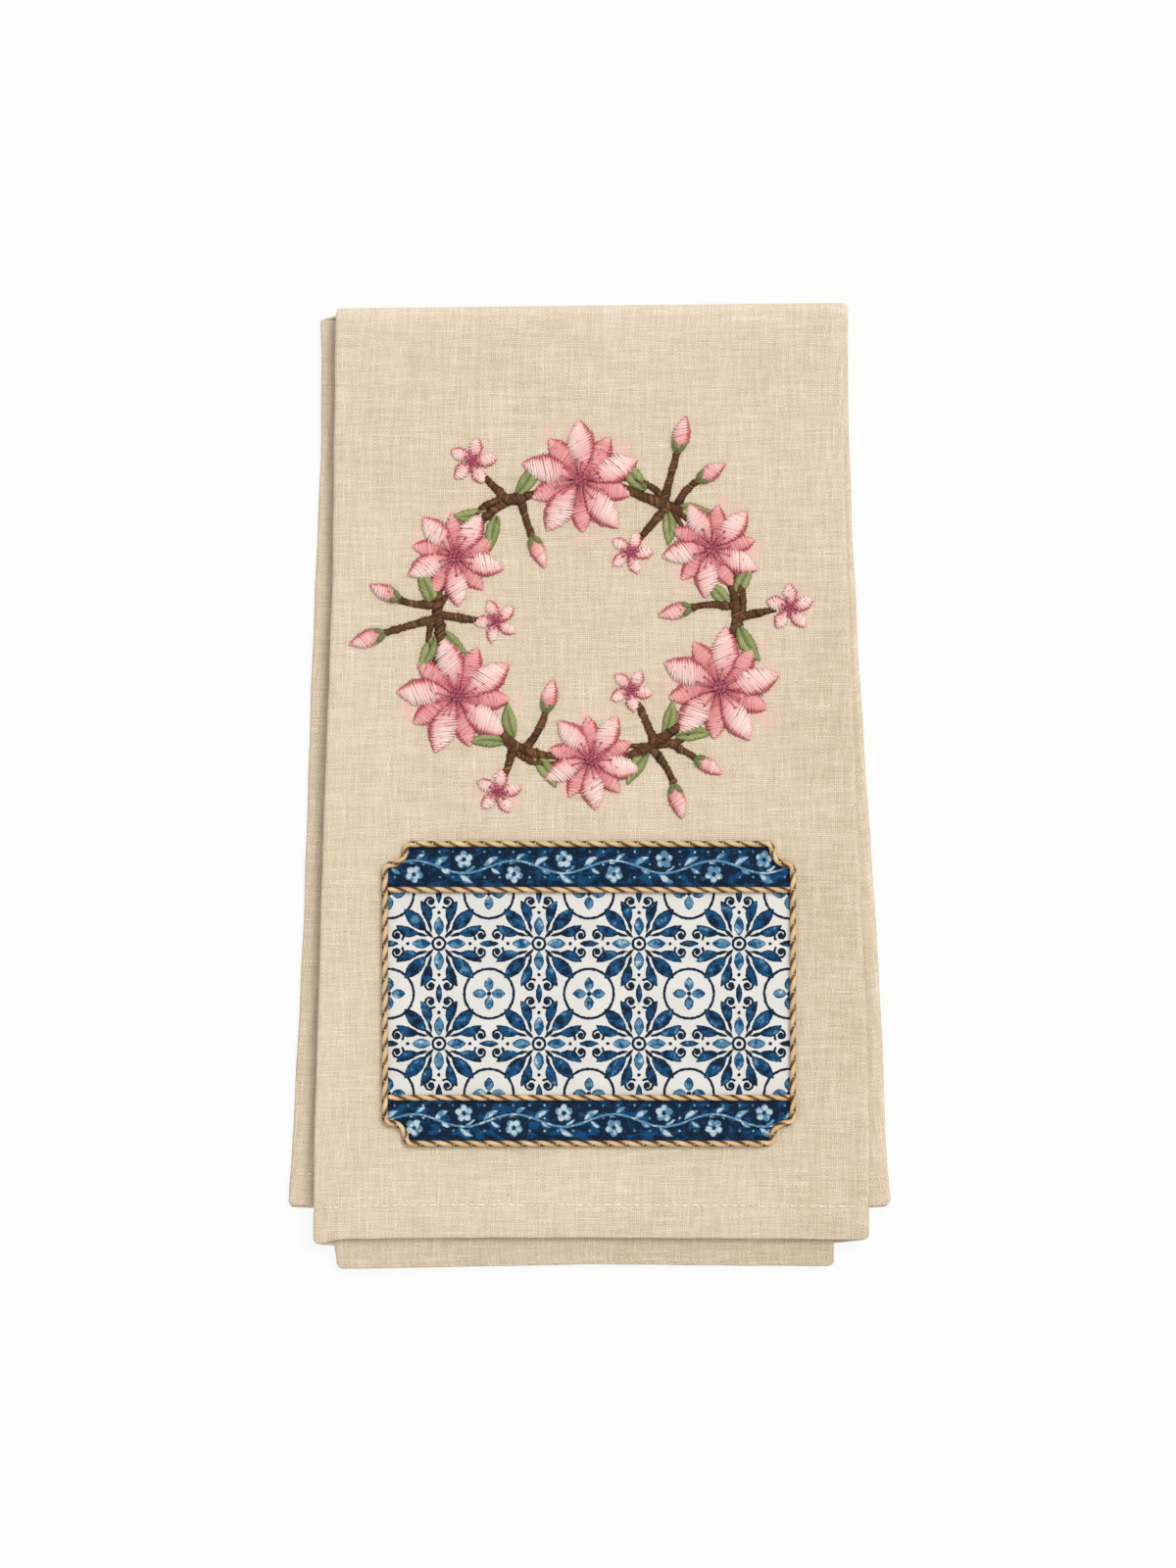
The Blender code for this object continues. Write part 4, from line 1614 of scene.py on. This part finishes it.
    def vine(self, bed: Stitches) -> list[Surface]:
        """Work the twigs of the oval, which slip under the flowers, and the stalks.

        Args:
            bed: the brown stitches to add to.

        Returns:
            The cores under the wraps.
        """
        wrap = Wrapped(self.ground)
        flowers = np.array([(flower.x, flower.y, flower.radius) for flower in self.blossoms()])
        lines = self.stalks()
        for start, end, first, last, swing, swings in self.twigs:
            for third in (0.0, 120.0, 240.0):
                degrees = np.linspace(start + third, end + third, 281)
                share = (degrees - start - third) / (end - start)
                outward = swing * np.sin(swings * np.radians(degrees) + 0.5)
                lines.append((self.spot(degrees, outward), first + share * (last - first)))
        cores = []
        for line, widths in lines:
            gap = np.hypot(line[:, None, 0] - flowers[:, 0], line[:, None, 1] - flowers[:, 1])
            nearest = (gap / flowers[:, 2]).min(axis=1)
            fades = 0.2 + 0.8 * eased(nearest, *self.lowered)
            shown = nearest > self.hidden
            cuts = np.flatnonzero(np.diff(shown.astype(int))) + 1
            for part in np.split(np.arange(len(line)), cuts):
                if shown[part[0]] and len(part) > 4:
                    cores.append(wrap.work(bed, line[part], widths[part], fades[part]))
        return cores

    def build(self) -> None:
        """Make the stitching, one piece for each colour of thread, all with one run of random numbers."""
        rng = np.random.default_rng(SEED)
        rose, green = (Stitches(self.ground, rng) for _ in range(2))
        pink = Stitches(self.ground, rng, painted_hole_shade=(0.2, 0.55), mark_from=0.85)
        brown = Stitches(self.ground, rng, sides=5)
        pads = {Thread.PINK: [], Thread.ROSE: [], Thread.GREEN: []}
        cores = self.vine(brown)
        for leaf in self.leaf_shapes():
            leaf.fishbone(green, self.leaf_fill)
            pads[Thread.GREEN].append(leaf.padding(self.ground, 0.15))
        shapes = [(bud, self.bud_fill, 0.3) for bud in self.bud_shapes()]
        for flower in self.blossoms():
            shapes += [(petal, self.behind_fill, 0.05) for petal in flower.behind()]
            shapes += [(petal, self.front_fill, 0.55) for petal in flower.front()]
            pads[Thread.ROSE] += flower.stamens(rose)
        for shape, fill, under in shapes:
            shape.satin(pink, fill)
            pads[Thread.PINK].append(shape.padding(self.ground, under))
        made = (
            ("pink_satin", Thread.PINK, "pink_thread", pink, pads[Thread.PINK]),
            ("rose_stamens", Thread.ROSE, "pink_thread", rose, pads[Thread.ROSE]),
            ("brown_vine", Thread.BROWN, "brown_thread", brown, cores),
            ("green_leaves", Thread.GREEN, "green_thread", green, pads[Thread.GREEN]),
        )
        for name, thread, slot, bed, under in made:
            joined([bed.surface(), *under]).make(name, thread.value.material(), slot)


@dataclass
class HemStitching:
    """The rows of running stitches that hold the hems that show from the front."""

    towel: FoldedTowel
    stitch: float = 2.5
    gap: float = 0.8
    thread: float = 0.52
    front_ends: Point = (-90.6, 92.6)
    # a layer of the stack, and where its row starts and ends
    strips: Table = ((1, -99.6, -88), (2, 88, 99.8))

    def row(self, bed: Stitches, line: Table) -> None:
        """Lay stitches along a line.

        Args:
            bed: the stitches to add to.
            line: x and y of points along it.
        """
        rng, xs = bed.rng, column(line, 1)[0]
        start = np.arange(xs[0], xs[-1] - self.stitch, self.stitch + self.gap)
        start = start + rng.normal(0.0, 0.14, len(start))
        end = start + self.stitch * rng.normal(1.0, 0.09, len(start))
        drift = rng.normal(0.0, 0.09, len(start))
        ends = [np.column_stack((x, read(line, 1, x) + drift)) for x in (start, end)]
        middle = rng.normal(0.84, 0.14, len(start))
        # painted shade darkens each stitch towards its ends, where it goes into the cloth
        bed.add(*ends, 0.30, self.thread, np.stack((middle - 0.3, middle, middle - 0.3), axis=1))

    def build(self) -> None:
        """Make the rows on the middle panel and on the two strips that show beside it, one piece."""
        towel, rng = self.towel, np.random.default_rng(SEED + 1)
        above, (left, right) = towel.hem_depth, self.front_ends
        hem = [(x, y + above) for x, y in towel.front_middle_hem if abs(x) < 86.0]
        beds = [(towel.front, ((left, hem[0][1] - 0.4), *hem, (right, hem[-1][1])))]
        for layer, *ends in self.strips:
            beds.append((towel.level(layer), tuple((x, towel.back_hem[1][1] + above) for x in ends)))
        rows = []
        for ground, line in beds:
            bed = Stitches(ground, rng, sides=6, dive=0.25, painted_hole_shade=(0.7, 0.7), mark_from=0.9)
            self.row(bed, line)
            rows.append(bed.surface())
        joined(rows).make("hem_stitches", Thread.CREAM.value.material(), "hem_thread")


# -------- the cotton panel


def leaf_inside(x: Number, y: Number, start: Point, end: Point, width: float, bend: float = 0.0) -> Number:
    """Return how many millimetres a place lies inside a leaf, less than 0 outside.

    With s the share along the chord and t the distance across it, it is
    width / 2 sin(pi s)^0.8 - |t - bend 4 s (1 - s)|, less how far s lies beyond either end.

    Args:
        x: the place across.
        y: the place along.
        start: the leaf's foot.
        end: its tip.
        width: its width.
        bend: how far its middle line leaves the chord.

    Returns:
        The depth inside.
    """
    length = math.dist(start, end)
    cos, sin = (end[0] - start[0]) / length, (end[1] - start[1]) / length
    forward = (x - start[0]) * cos + (y - start[1]) * sin
    sideways = (y - start[1]) * cos - (x - start[0]) * sin
    share = least(largest(forward / length, 0.0), 1.0)
    half = (share * math.pi).apply("SINE") ** 0.8 * (width / 2)
    return half - abs(sideways - share * (1.0 - share) * (4 * bend)) - abs(forward - share * length)


def curl_inside(x: Number, y: Number, middle: Point, start: float, turns: float, sizes: Place) -> Number:
    """Return how many millimetres a place lies inside the line of a curl.

    The curl's radius grows evenly with the angle, r = inner + (outer - inner) a / turns, and its inner end
    is a dot.

    Args:
        x: the place across.
        y: the place along.
        middle: the curl's middle.
        start: angle of its inner end.
        turns: how many turns it has.
        sizes: inner radius, outer radius and half the line's width.

    Returns:
        The depth inside.
    """
    inner, outer, half = sizes
    out = far(x - middle[0], y - middle[1])
    angle = ((y - middle[1]).apply("ARCTAN2", x - middle[0]) - start) % FULL_TURN / FULL_TURN
    depth = (inner + half) - out
    for turn in range(math.ceil(turns)):
        on_line = (angle + turn).apply("LESS_THAN", turns)
        radius = inner + (angle + turn) * ((outer - inner) / turns)
        depth = largest(depth, on_line * (half - abs(out - radius) + 1.0) - 1.0)
    return depth


@dataclass(frozen=True)
class TilePrint:
    """A tile repeat: leaves on the diagonals, petals on the axes, a small flower where tiles meet."""

    left: float
    foot: float
    tile: float = 34.0

    def depths(self, x: Number, y: Number) -> dict[str, Number]:
        """Return how far a place lies inside each kind of motif.

        The place in a tile is folded onto one eighth of it, so that each motif is worked out once.

        Args:
            x: the place across.
            y: the place along.

        Returns:
            The depth for each motif.
        """
        half = self.tile / 2
        u, v = abs((x - self.left) % self.tile - half), abs((y - self.foot) % self.tile - half)
        a, b = largest(u, v), least(u, v)
        middle, corner = far(u, v), far(half - u, half - v)
        return {
            "navy": largest(
                leaf_inside(a, b, (4.3, 4.3), (11.8, 11.8), 4.6),
                leaf_inside(a, b, (6.6, 3.4), (14.6, 6.2), 3.5, -0.8),
                leaf_inside(a, b, (13.6, 0.0), (20.4, 0.0), 2.2),
            ),
            "light": largest(
                leaf_inside(a, b, (2.6, 0.0), (9.2, 0.0), 3.4),
                leaf_inside(half - b, half - a, (0.8, 0.0), (5.6, 0.0), 3.2),
            ),
            "line": largest(
                0.46 - abs(middle - 2.1),
                0.46 - abs(corner - 8.4),
                leaf_inside(a, b, (1.8, 1.8), (5.2, 5.2), 1.3),
                leaf_inside(a, b, (3.6, 2.6), (8.6, 4.2), 1.2, -0.3),
                curl_inside(a, b, (14.2, 2.9), 2.4, 1.25, (0.5, 2.3, 0.42)),
            ),
            "dot": largest(0.9 - middle, 0.8 - corner, 0.6 - far(a - 10.6, b)),
        }


@dataclass(frozen=True)
class SprigPrint:
    """A running sprig: a waving stem with a leaf at each side by turns and a flower in each hollow."""

    middle: float
    wave: float = 34.0
    swing: float = 2.1
    leaf_step: float = 8.5
    petal_out: float = 1.75
    petal: float = 1.3

    def stem(self, x: Number) -> Number:
        """Return how far the stem swings at a place along the band."""
        return (x * (FULL_TURN / self.wave)).apply("SINE") * self.swing

    def depths(self, x: Number, y: Number) -> dict[str, Number]:
        """Return how far a place lies inside each kind of motif.

        Each leaf's cell is as long as leaf_step, and every second one is turned over. A flower has five
        round petals: its angle is folded onto one of them.

        Args:
            x: the place across.
            y: the place along.

        Returns:
            The depth for each motif.
        """
        y = y - self.middle
        cell = (x / self.leaf_step + 0.5).apply("FLOOR")
        side = 1.0 - (cell % 2.0) * 2.0
        foot = cell * self.leaf_step
        near_x, near_y = x - foot, side * (y - self.stem(foot))
        bloom = ((x / (self.wave / 2)).apply("FLOOR") + 0.5) * (self.wave / 2)
        bloom_x, bloom_y = x - bloom, y + self.stem(bloom) * 1.19
        out, turn = far(bloom_x, bloom_y), bloom_y.apply("ARCTAN2", bloom_x)
        folded = (turn + bloom) % (FULL_TURN / 5) - FULL_TURN / 10
        petal_x = folded.apply("COSINE") * out - self.petal_out
        petals = self.petal - far(petal_x, folded.apply("SINE") * out * 1.05)
        seeds = 0.42 - far((x + side * 2.3) % 5.1 - 2.55, (y + 40.0) % 4.3 - 2.1)
        leaves = largest(
            leaf_inside(near_x, near_y, (-1.6, 0.2), (3.2, 3.3), 2.0, 0.5),
            leaf_inside(near_x, near_y, (0.6, -0.2), (3.9, -2.3), 1.5, -0.3),
        )
        return {
            "navy": largest(1.5 - abs(out - 3.6), leaf_inside(near_x, near_y, (-3.8, 3.0), (0.6, 5.4), 2.4)),
            "line": largest(0.36 - abs(y - self.stem(x)) * 0.93, least(seeds, out - 4.4)),
            "light": largest(least(leaves, out - 3.6), petals),
            "dot": 0.7 - out,
        }


@dataclass
class CottonPanel:
    """The printed field, the band above and the band below it, and the cords along their edges."""

    towel: FoldedTowel
    tile: float = 34.0
    tiles_across: int = 4
    tiles_up: int = 2
    band: float = 13.0
    lane: float = 2.6
    middle_y: float = -70.6
    notch: float = 5.0
    corner: float = 2.0
    cotton: float = 0.4
    clear: float = 0.05
    crown: float = 0.3
    pucker: float = 0.06
    grid: float = 1.0
    cord: float = 2.0
    # a ply's distance from the cord's middle, and its width and height, as shares of the cord's thickness
    ply_out: float = 0.24
    ply_size: Point = (0.56, 0.84)
    ply_pitch: float = 5.8
    cord_step: float = 0.6
    cord_sides: int = 10
    # the cord's shade, its unevenness, and the painted shade that darkens it in the creases and underneath
    cord_shade: float = 0.66
    cord_uneven: float = 0.10
    painted_crease_shade: float = 0.65
    painted_underside_shade: float = 0.35

    def __post_init__(self) -> None:
        """Work out where the middles of the cords lie."""
        self.half_width = (self.tiles_across * self.tile + self.lane) / 2
        self.divider = (self.tiles_up * self.tile + self.lane) / 2
        self.half_height = self.divider + self.band + self.lane
        self.block = 2 * self.corner + self.notch

    def edge_height(self, x: Array) -> Array:
        """Return how high above the panel's middle its outline lies.

        From the middle outward it is straight, then a quarter circle out of radius `corner`, one in of
        radius `notch`, and one out again.

        Args:
            x: places across.

        Returns:
            The heights.
        """
        out = np.abs(x) - (self.half_width - self.block)
        into = self.corner + self.notch - out
        last = out - self.corner - self.notch
        first, second, third = (
            np.sqrt(np.clip(radius**2 - np.clip(away, 0.0, None) ** 2, 0.0, None))
            for radius, away in ((self.corner, out), (self.notch, into), (self.corner, last))
        )
        beyond = np.where(into > 0, -self.corner - second, -self.block + third)
        return self.half_height + np.where(out < self.corner, -self.corner + first, beyond)

    def cotton_piece(
        self, name: str, node: str, low: Array, high: Array, x: Array, printed: TilePrint | SprigPrint
    ) -> None:
        """Make one piece of cotton, its edges under the cords.

        It lies on the linen and stands crown (1 - exp(-(d / 4)^2)) higher a distance d inside its edges,
        along which it puckers by pucker exp(-d / 2.5) between the cord's turns.

        Args:
            name: the piece's name.
            node: the solid that it replaces.
            low: height of its lower edge at each column.
            high: height of its upper edge at each column.
            x: the columns.
            printed: its print.
        """
        rows = int(np.max(high - low) / self.grid)
        share = np.linspace(0.0, 1.0, rows)[:, None]
        y = low + share * (high - low)
        x = np.broadcast_to(x, y.shape)
        inside = np.minimum(np.minimum(y - low, high - y), self.half_width - np.abs(x))
        pucker = self.pucker * np.exp(-inside / 2.5) * np.sin(FULL_TURN * (x + y) / self.ply_pitch)
        crown = self.crown * (1 - np.exp(-((inside / 4.0) ** 2))) + pucker
        z = self.towel.front(x, y) + self.cotton / 2 + self.clear + crown
        sheet = shell(np.stack((x, y, z), axis=2), np.full(x.shape, self.cotton), np.stack((x, y), axis=2), 1)
        tiles = isinstance(printed, TilePrint)
        finish = PrintedCotton(Print.TILES if tiles else Print.SPRIG, printed)
        piece = sheet.make(name, finish.material(), "white_cotton" if tiles else "navy_cotton")
        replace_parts(piece, node)

    def outline(self) -> Array:
        """Return the middle line of the cord round the panel, closed, from the middle of its lower edge.

        A quarter is worked out as arcs and mirrored for the others.

        Returns:
            Points of x and y.
        """
        right, top = self.half_width, self.half_height
        turn = np.radians(np.arange(0.0, 90.1, 5.0))
        arcs = (
            ((right - self.block, self.corner - top), self.corner, turn - math.pi / 2),
            ((right - self.corner, self.corner - top), self.notch, math.pi - turn),
            ((right - self.corner, self.block - top), self.corner, turn - math.pi / 2),
        )
        rounded = [middle + radius * towards(angles) for middle, radius, angles in arcs]
        quarter = np.concatenate(([(0.0, -top)], *rounded, [(right, 0.0)]))
        upper = quarter[::-1][1:] * (1.0, -1.0)
        half = np.concatenate((quarter, upper))
        whole = np.concatenate((half, half[::-1][1:-1] * (-1.0, 1.0)))
        return whole + (0.0, self.middle_y)

    def twisted_cord(self, name: str, line: Array, closed: bool, start: float) -> None:
        """Make a cord of two plies that wind round each other, tacked down between their turns.

        A ply's middle lies half a millimetre from the cord's, at an angle that grows by a full turn over
        two ply pitches. Its section is an ellipse, wider round the cord than across it. Painted shade darkens
        it most in the crease, |sin a|^3 3 / 4 - cos a / 2 at an angle a round the ply, and on the cord's
        underside.

        Args:
            name: the cord's name and that of the solid it replaces.
            line: its middle line.
            closed: whether it ends where it starts.
            start: the twist's angle at the start.
        """
        line = np.concatenate((line, line[:1])) if closed else line
        travelled = lengths_along(line)
        total = travelled[-1]
        turns = max(1, round(total / (2 * self.ply_pitch)))
        count = int(total / self.cord_step)
        place = np.linspace(0.0, total, count, endpoint=not closed)
        flat = points_at(line, travelled, place)
        ahead = np.roll(flat, -1, axis=0) - np.roll(flat, 1, axis=0) if closed else np.gradient(flat, axis=0)
        heading = unit(ahead)
        across = np.column_stack((left_of(heading), 0 * place))
        up = np.array((0.0, 0.0, 1.0))
        height = self.towel.front(flat[:, 0], flat[:, 1]) + self.cotton + self.clear + self.cord / 2
        middle = np.column_stack((flat, height))
        angle = start + FULL_TURN * turns * place / total + math.pi * np.arange(2)[:, None]
        out = np.cos(angle)[..., None] * across + np.sin(angle)[..., None] * up
        around = -np.sin(angle)[..., None] * across + np.cos(angle)[..., None] * up
        loose = 1.0 + 0.05 * ripple(place, 0 * place, 19.0, 8)
        path = middle + out * self.ply_out * self.cord
        sizes = np.stack([share * self.cord * loose for share in self.ply_size], axis=1)
        plies = tubes(path, out, np.broadcast_to(sizes, (2, count, 2)), self.cord_sides, closed)
        turn = round_turn(self.cord_sides)
        # painted shade in the crease between the plies and on the cord's underside
        crease = np.clip(-np.cos(turn) * 0.5 + np.abs(np.sin(turn)) ** 3 * 0.75, 0.0, 1.0)
        under = smoothstep((0.35 - np.sin(angle)) / 0.9)[..., None]
        tone = self.cord_shade + self.cord_uneven * ripple(place, 0 * place, 9.0, 9)[:, None]
        tone = tone - self.painted_crease_shade * crease - self.painted_underside_shade * under
        plies.values["tone"] = np.broadcast_to(tone, (2, count, self.cord_sides)).ravel()
        cord = joined([plies, self.tacks(flat, heading, turns)])
        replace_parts(cord.make(name, Thread.GOLD.value.material(), "gold_cord"), name)

    def tacks(self, flat: Array, heading: Array, turns: int) -> Surface:
        """Return the small stitches that tack a cord down, two to each turn of its twist.

        Args:
            flat: the cord's middle line.
            heading: its directions.
            turns: how many turns its twist has.

        Returns:
            The stitches.
        """
        at = (np.arange(2 * turns) * len(flat) / (2 * turns) + 2).astype(int) % len(flat)
        bed = Stitches(self.towel.front, stations=9, sides=6, dive=0.1, flatness=0.8)
        reach, slant = 0.52 * self.cord * left_of(heading[at]), 0.45 * heading[at]
        ends = (flat[at] - reach - slant, flat[at] + reach + slant)
        # painted highlight on each tack's middle, and painted shade towards its ends
        bed.add(*ends, 0.93 * self.cord, 0.36, np.array((0.55, 1.0, 0.55)), self.cotton)
        return bed.surface()

    def build(self) -> None:
        """Make the three pieces of cotton and the three cords."""
        across = np.arange(-self.half_width, self.half_width + self.grid / 2, self.grid)
        across = across * self.half_width / across[-1]
        field_low, field_high = (self.middle_y + side * self.divider + 0.0 * across for side in (-1, 1))
        left, foot = -self.tiles_across * self.tile / 2, self.middle_y - self.tiles_up * self.tile / 2
        tiles = TilePrint(left, foot, self.tile)
        self.cotton_piece("tile_print_field", "cotton_field", field_low, field_high, across, tiles)
        corner_step, inner = np.linspace(0.0, self.block, 40), self.half_width - self.block
        straight = across[np.abs(across) < inner]
        bends = np.concatenate((-self.half_width + corner_step, straight, inner + corner_step))
        bends = np.unique(np.round(bends, 4))
        edge = self.edge_height(bends)
        centre = self.divider + (self.half_height - self.divider) / 2
        for side, name in ((1, "upper"), (-1, "lower")):
            y = self.middle_y + side * self.divider
            lines = (y + 0.0 * bends, self.middle_y + side * edge)
            low, high = lines if side > 0 else lines[::-1]
            sprig = SprigPrint(self.middle_y + side * centre)
            self.cotton_piece(f"sprig_print_{name}", f"cotton_band_{name}", low, high, bends, sprig)
            reach = self.half_width - self.cord / 2 - 0.1
            self.twisted_cord(f"gold_cord_{name}", np.array(((-reach, y), (reach, y))), False, 0.6)
        self.twisted_cord("gold_cord_outline", self.outline(), True, 0.0)


# -------- the studio


@dataclass
class Studio:
    """A plain pale floor, soft even light from the upper right, and the camera straight above."""

    picture_height: float = 1600 / 3
    middle: Place = (-0.33, 0.67, 8.5)
    lens: float = 100.0
    sensor: float = 36.0
    floor_size: float = 12.0
    floor_colour: Colour = (0.10, 0.10, 0.10)
    floor_glow: Colour = (0.87, 0.87, 0.872)
    room: float = 0.74
    room_colour: Colour = (1.0, 0.985, 0.962)
    key_strength: float = 1.66
    key_softness: float = 26.0
    key_tilt: float = 37.0
    key_heading: float = 137.0
    key_colour: Colour = (1.0, 0.985, 0.96)

    def camera(self) -> None:
        """Place the camera so that the picture's height spans picture_height at the towel's face."""
        view = bpy.data.cameras.new("camera")
        view.lens, view.sensor_width, view.sensor_fit = self.lens, self.sensor, "AUTO"
        distance = self.lens / self.sensor * self.picture_height
        x, y, z = self.middle
        camera = bpy.data.objects.new("camera", view)
        camera.location = (x * MM, y * MM, (z + distance) * MM)
        bpy.context.scene.collection.objects.link(camera)
        bpy.context.scene.camera = camera

    def floor(self) -> None:
        """Make the floor, no part of the towel, which glows so that shadows are as faint as in the photo."""
        half = self.floor_size / 2
        corners = [(-half, -half, 0), (half, -half, 0), (half, half, 0), (-half, half, 0)]
        mesh = bpy.data.meshes.new("floor")
        mesh.from_pydata(corners, [], [(0, 1, 2, 3)])
        finish = Ink("pale_floor").finish(
            Base_Color=self.floor_colour,
            Emission_Color=self.floor_glow,
            Emission_Strength=1.0,
            Roughness=0.9,
            Specular_IOR_Level=0.0,
        )
        mesh.materials.append(finish)
        floor = bpy.data.objects.new("floor", mesh)
        bpy.context.scene.collection.objects.link(floor)

    def build(self) -> None:
        """Set the camera, the floor and the lights."""
        self.camera()
        self.floor()
        scene = bpy.context.scene
        scene.view_settings.view_transform = "Standard"
        world = bpy.data.worlds.new("studio")
        world.use_nodes = True
        room = world.node_tree.nodes["Background"].inputs
        room["Color"].default_value = (*self.room_colour, 1.0)
        room["Strength"].default_value = self.room
        scene.world = world
        lamp = bpy.data.lights.new("key", "SUN")
        lamp.energy, lamp.color = self.key_strength, self.key_colour
        lamp.angle = math.radians(self.key_softness)
        key = bpy.data.objects.new("key", lamp)
        key.rotation_euler = (math.radians(self.key_tilt), 0.0, math.radians(self.key_heading))
        scene.collection.objects.link(key)
        LOG.info("studio: camera, floor and lights")


def main() -> None:
    """Build the studio, the towel and all that is stitched to it."""
    logging.basicConfig(level=logging.INFO, format="%(name)s: %(message)s")
    Studio().build()
    towel = FoldedTowel()
    wreath = Wreath(towel.front)
    towel.build(SlubbyLinen(), wreath.wash_spots())
    HemStitching(towel).build()
    CottonPanel(towel).build()
    wreath.build()


if __name__ == "__main__":
    main()
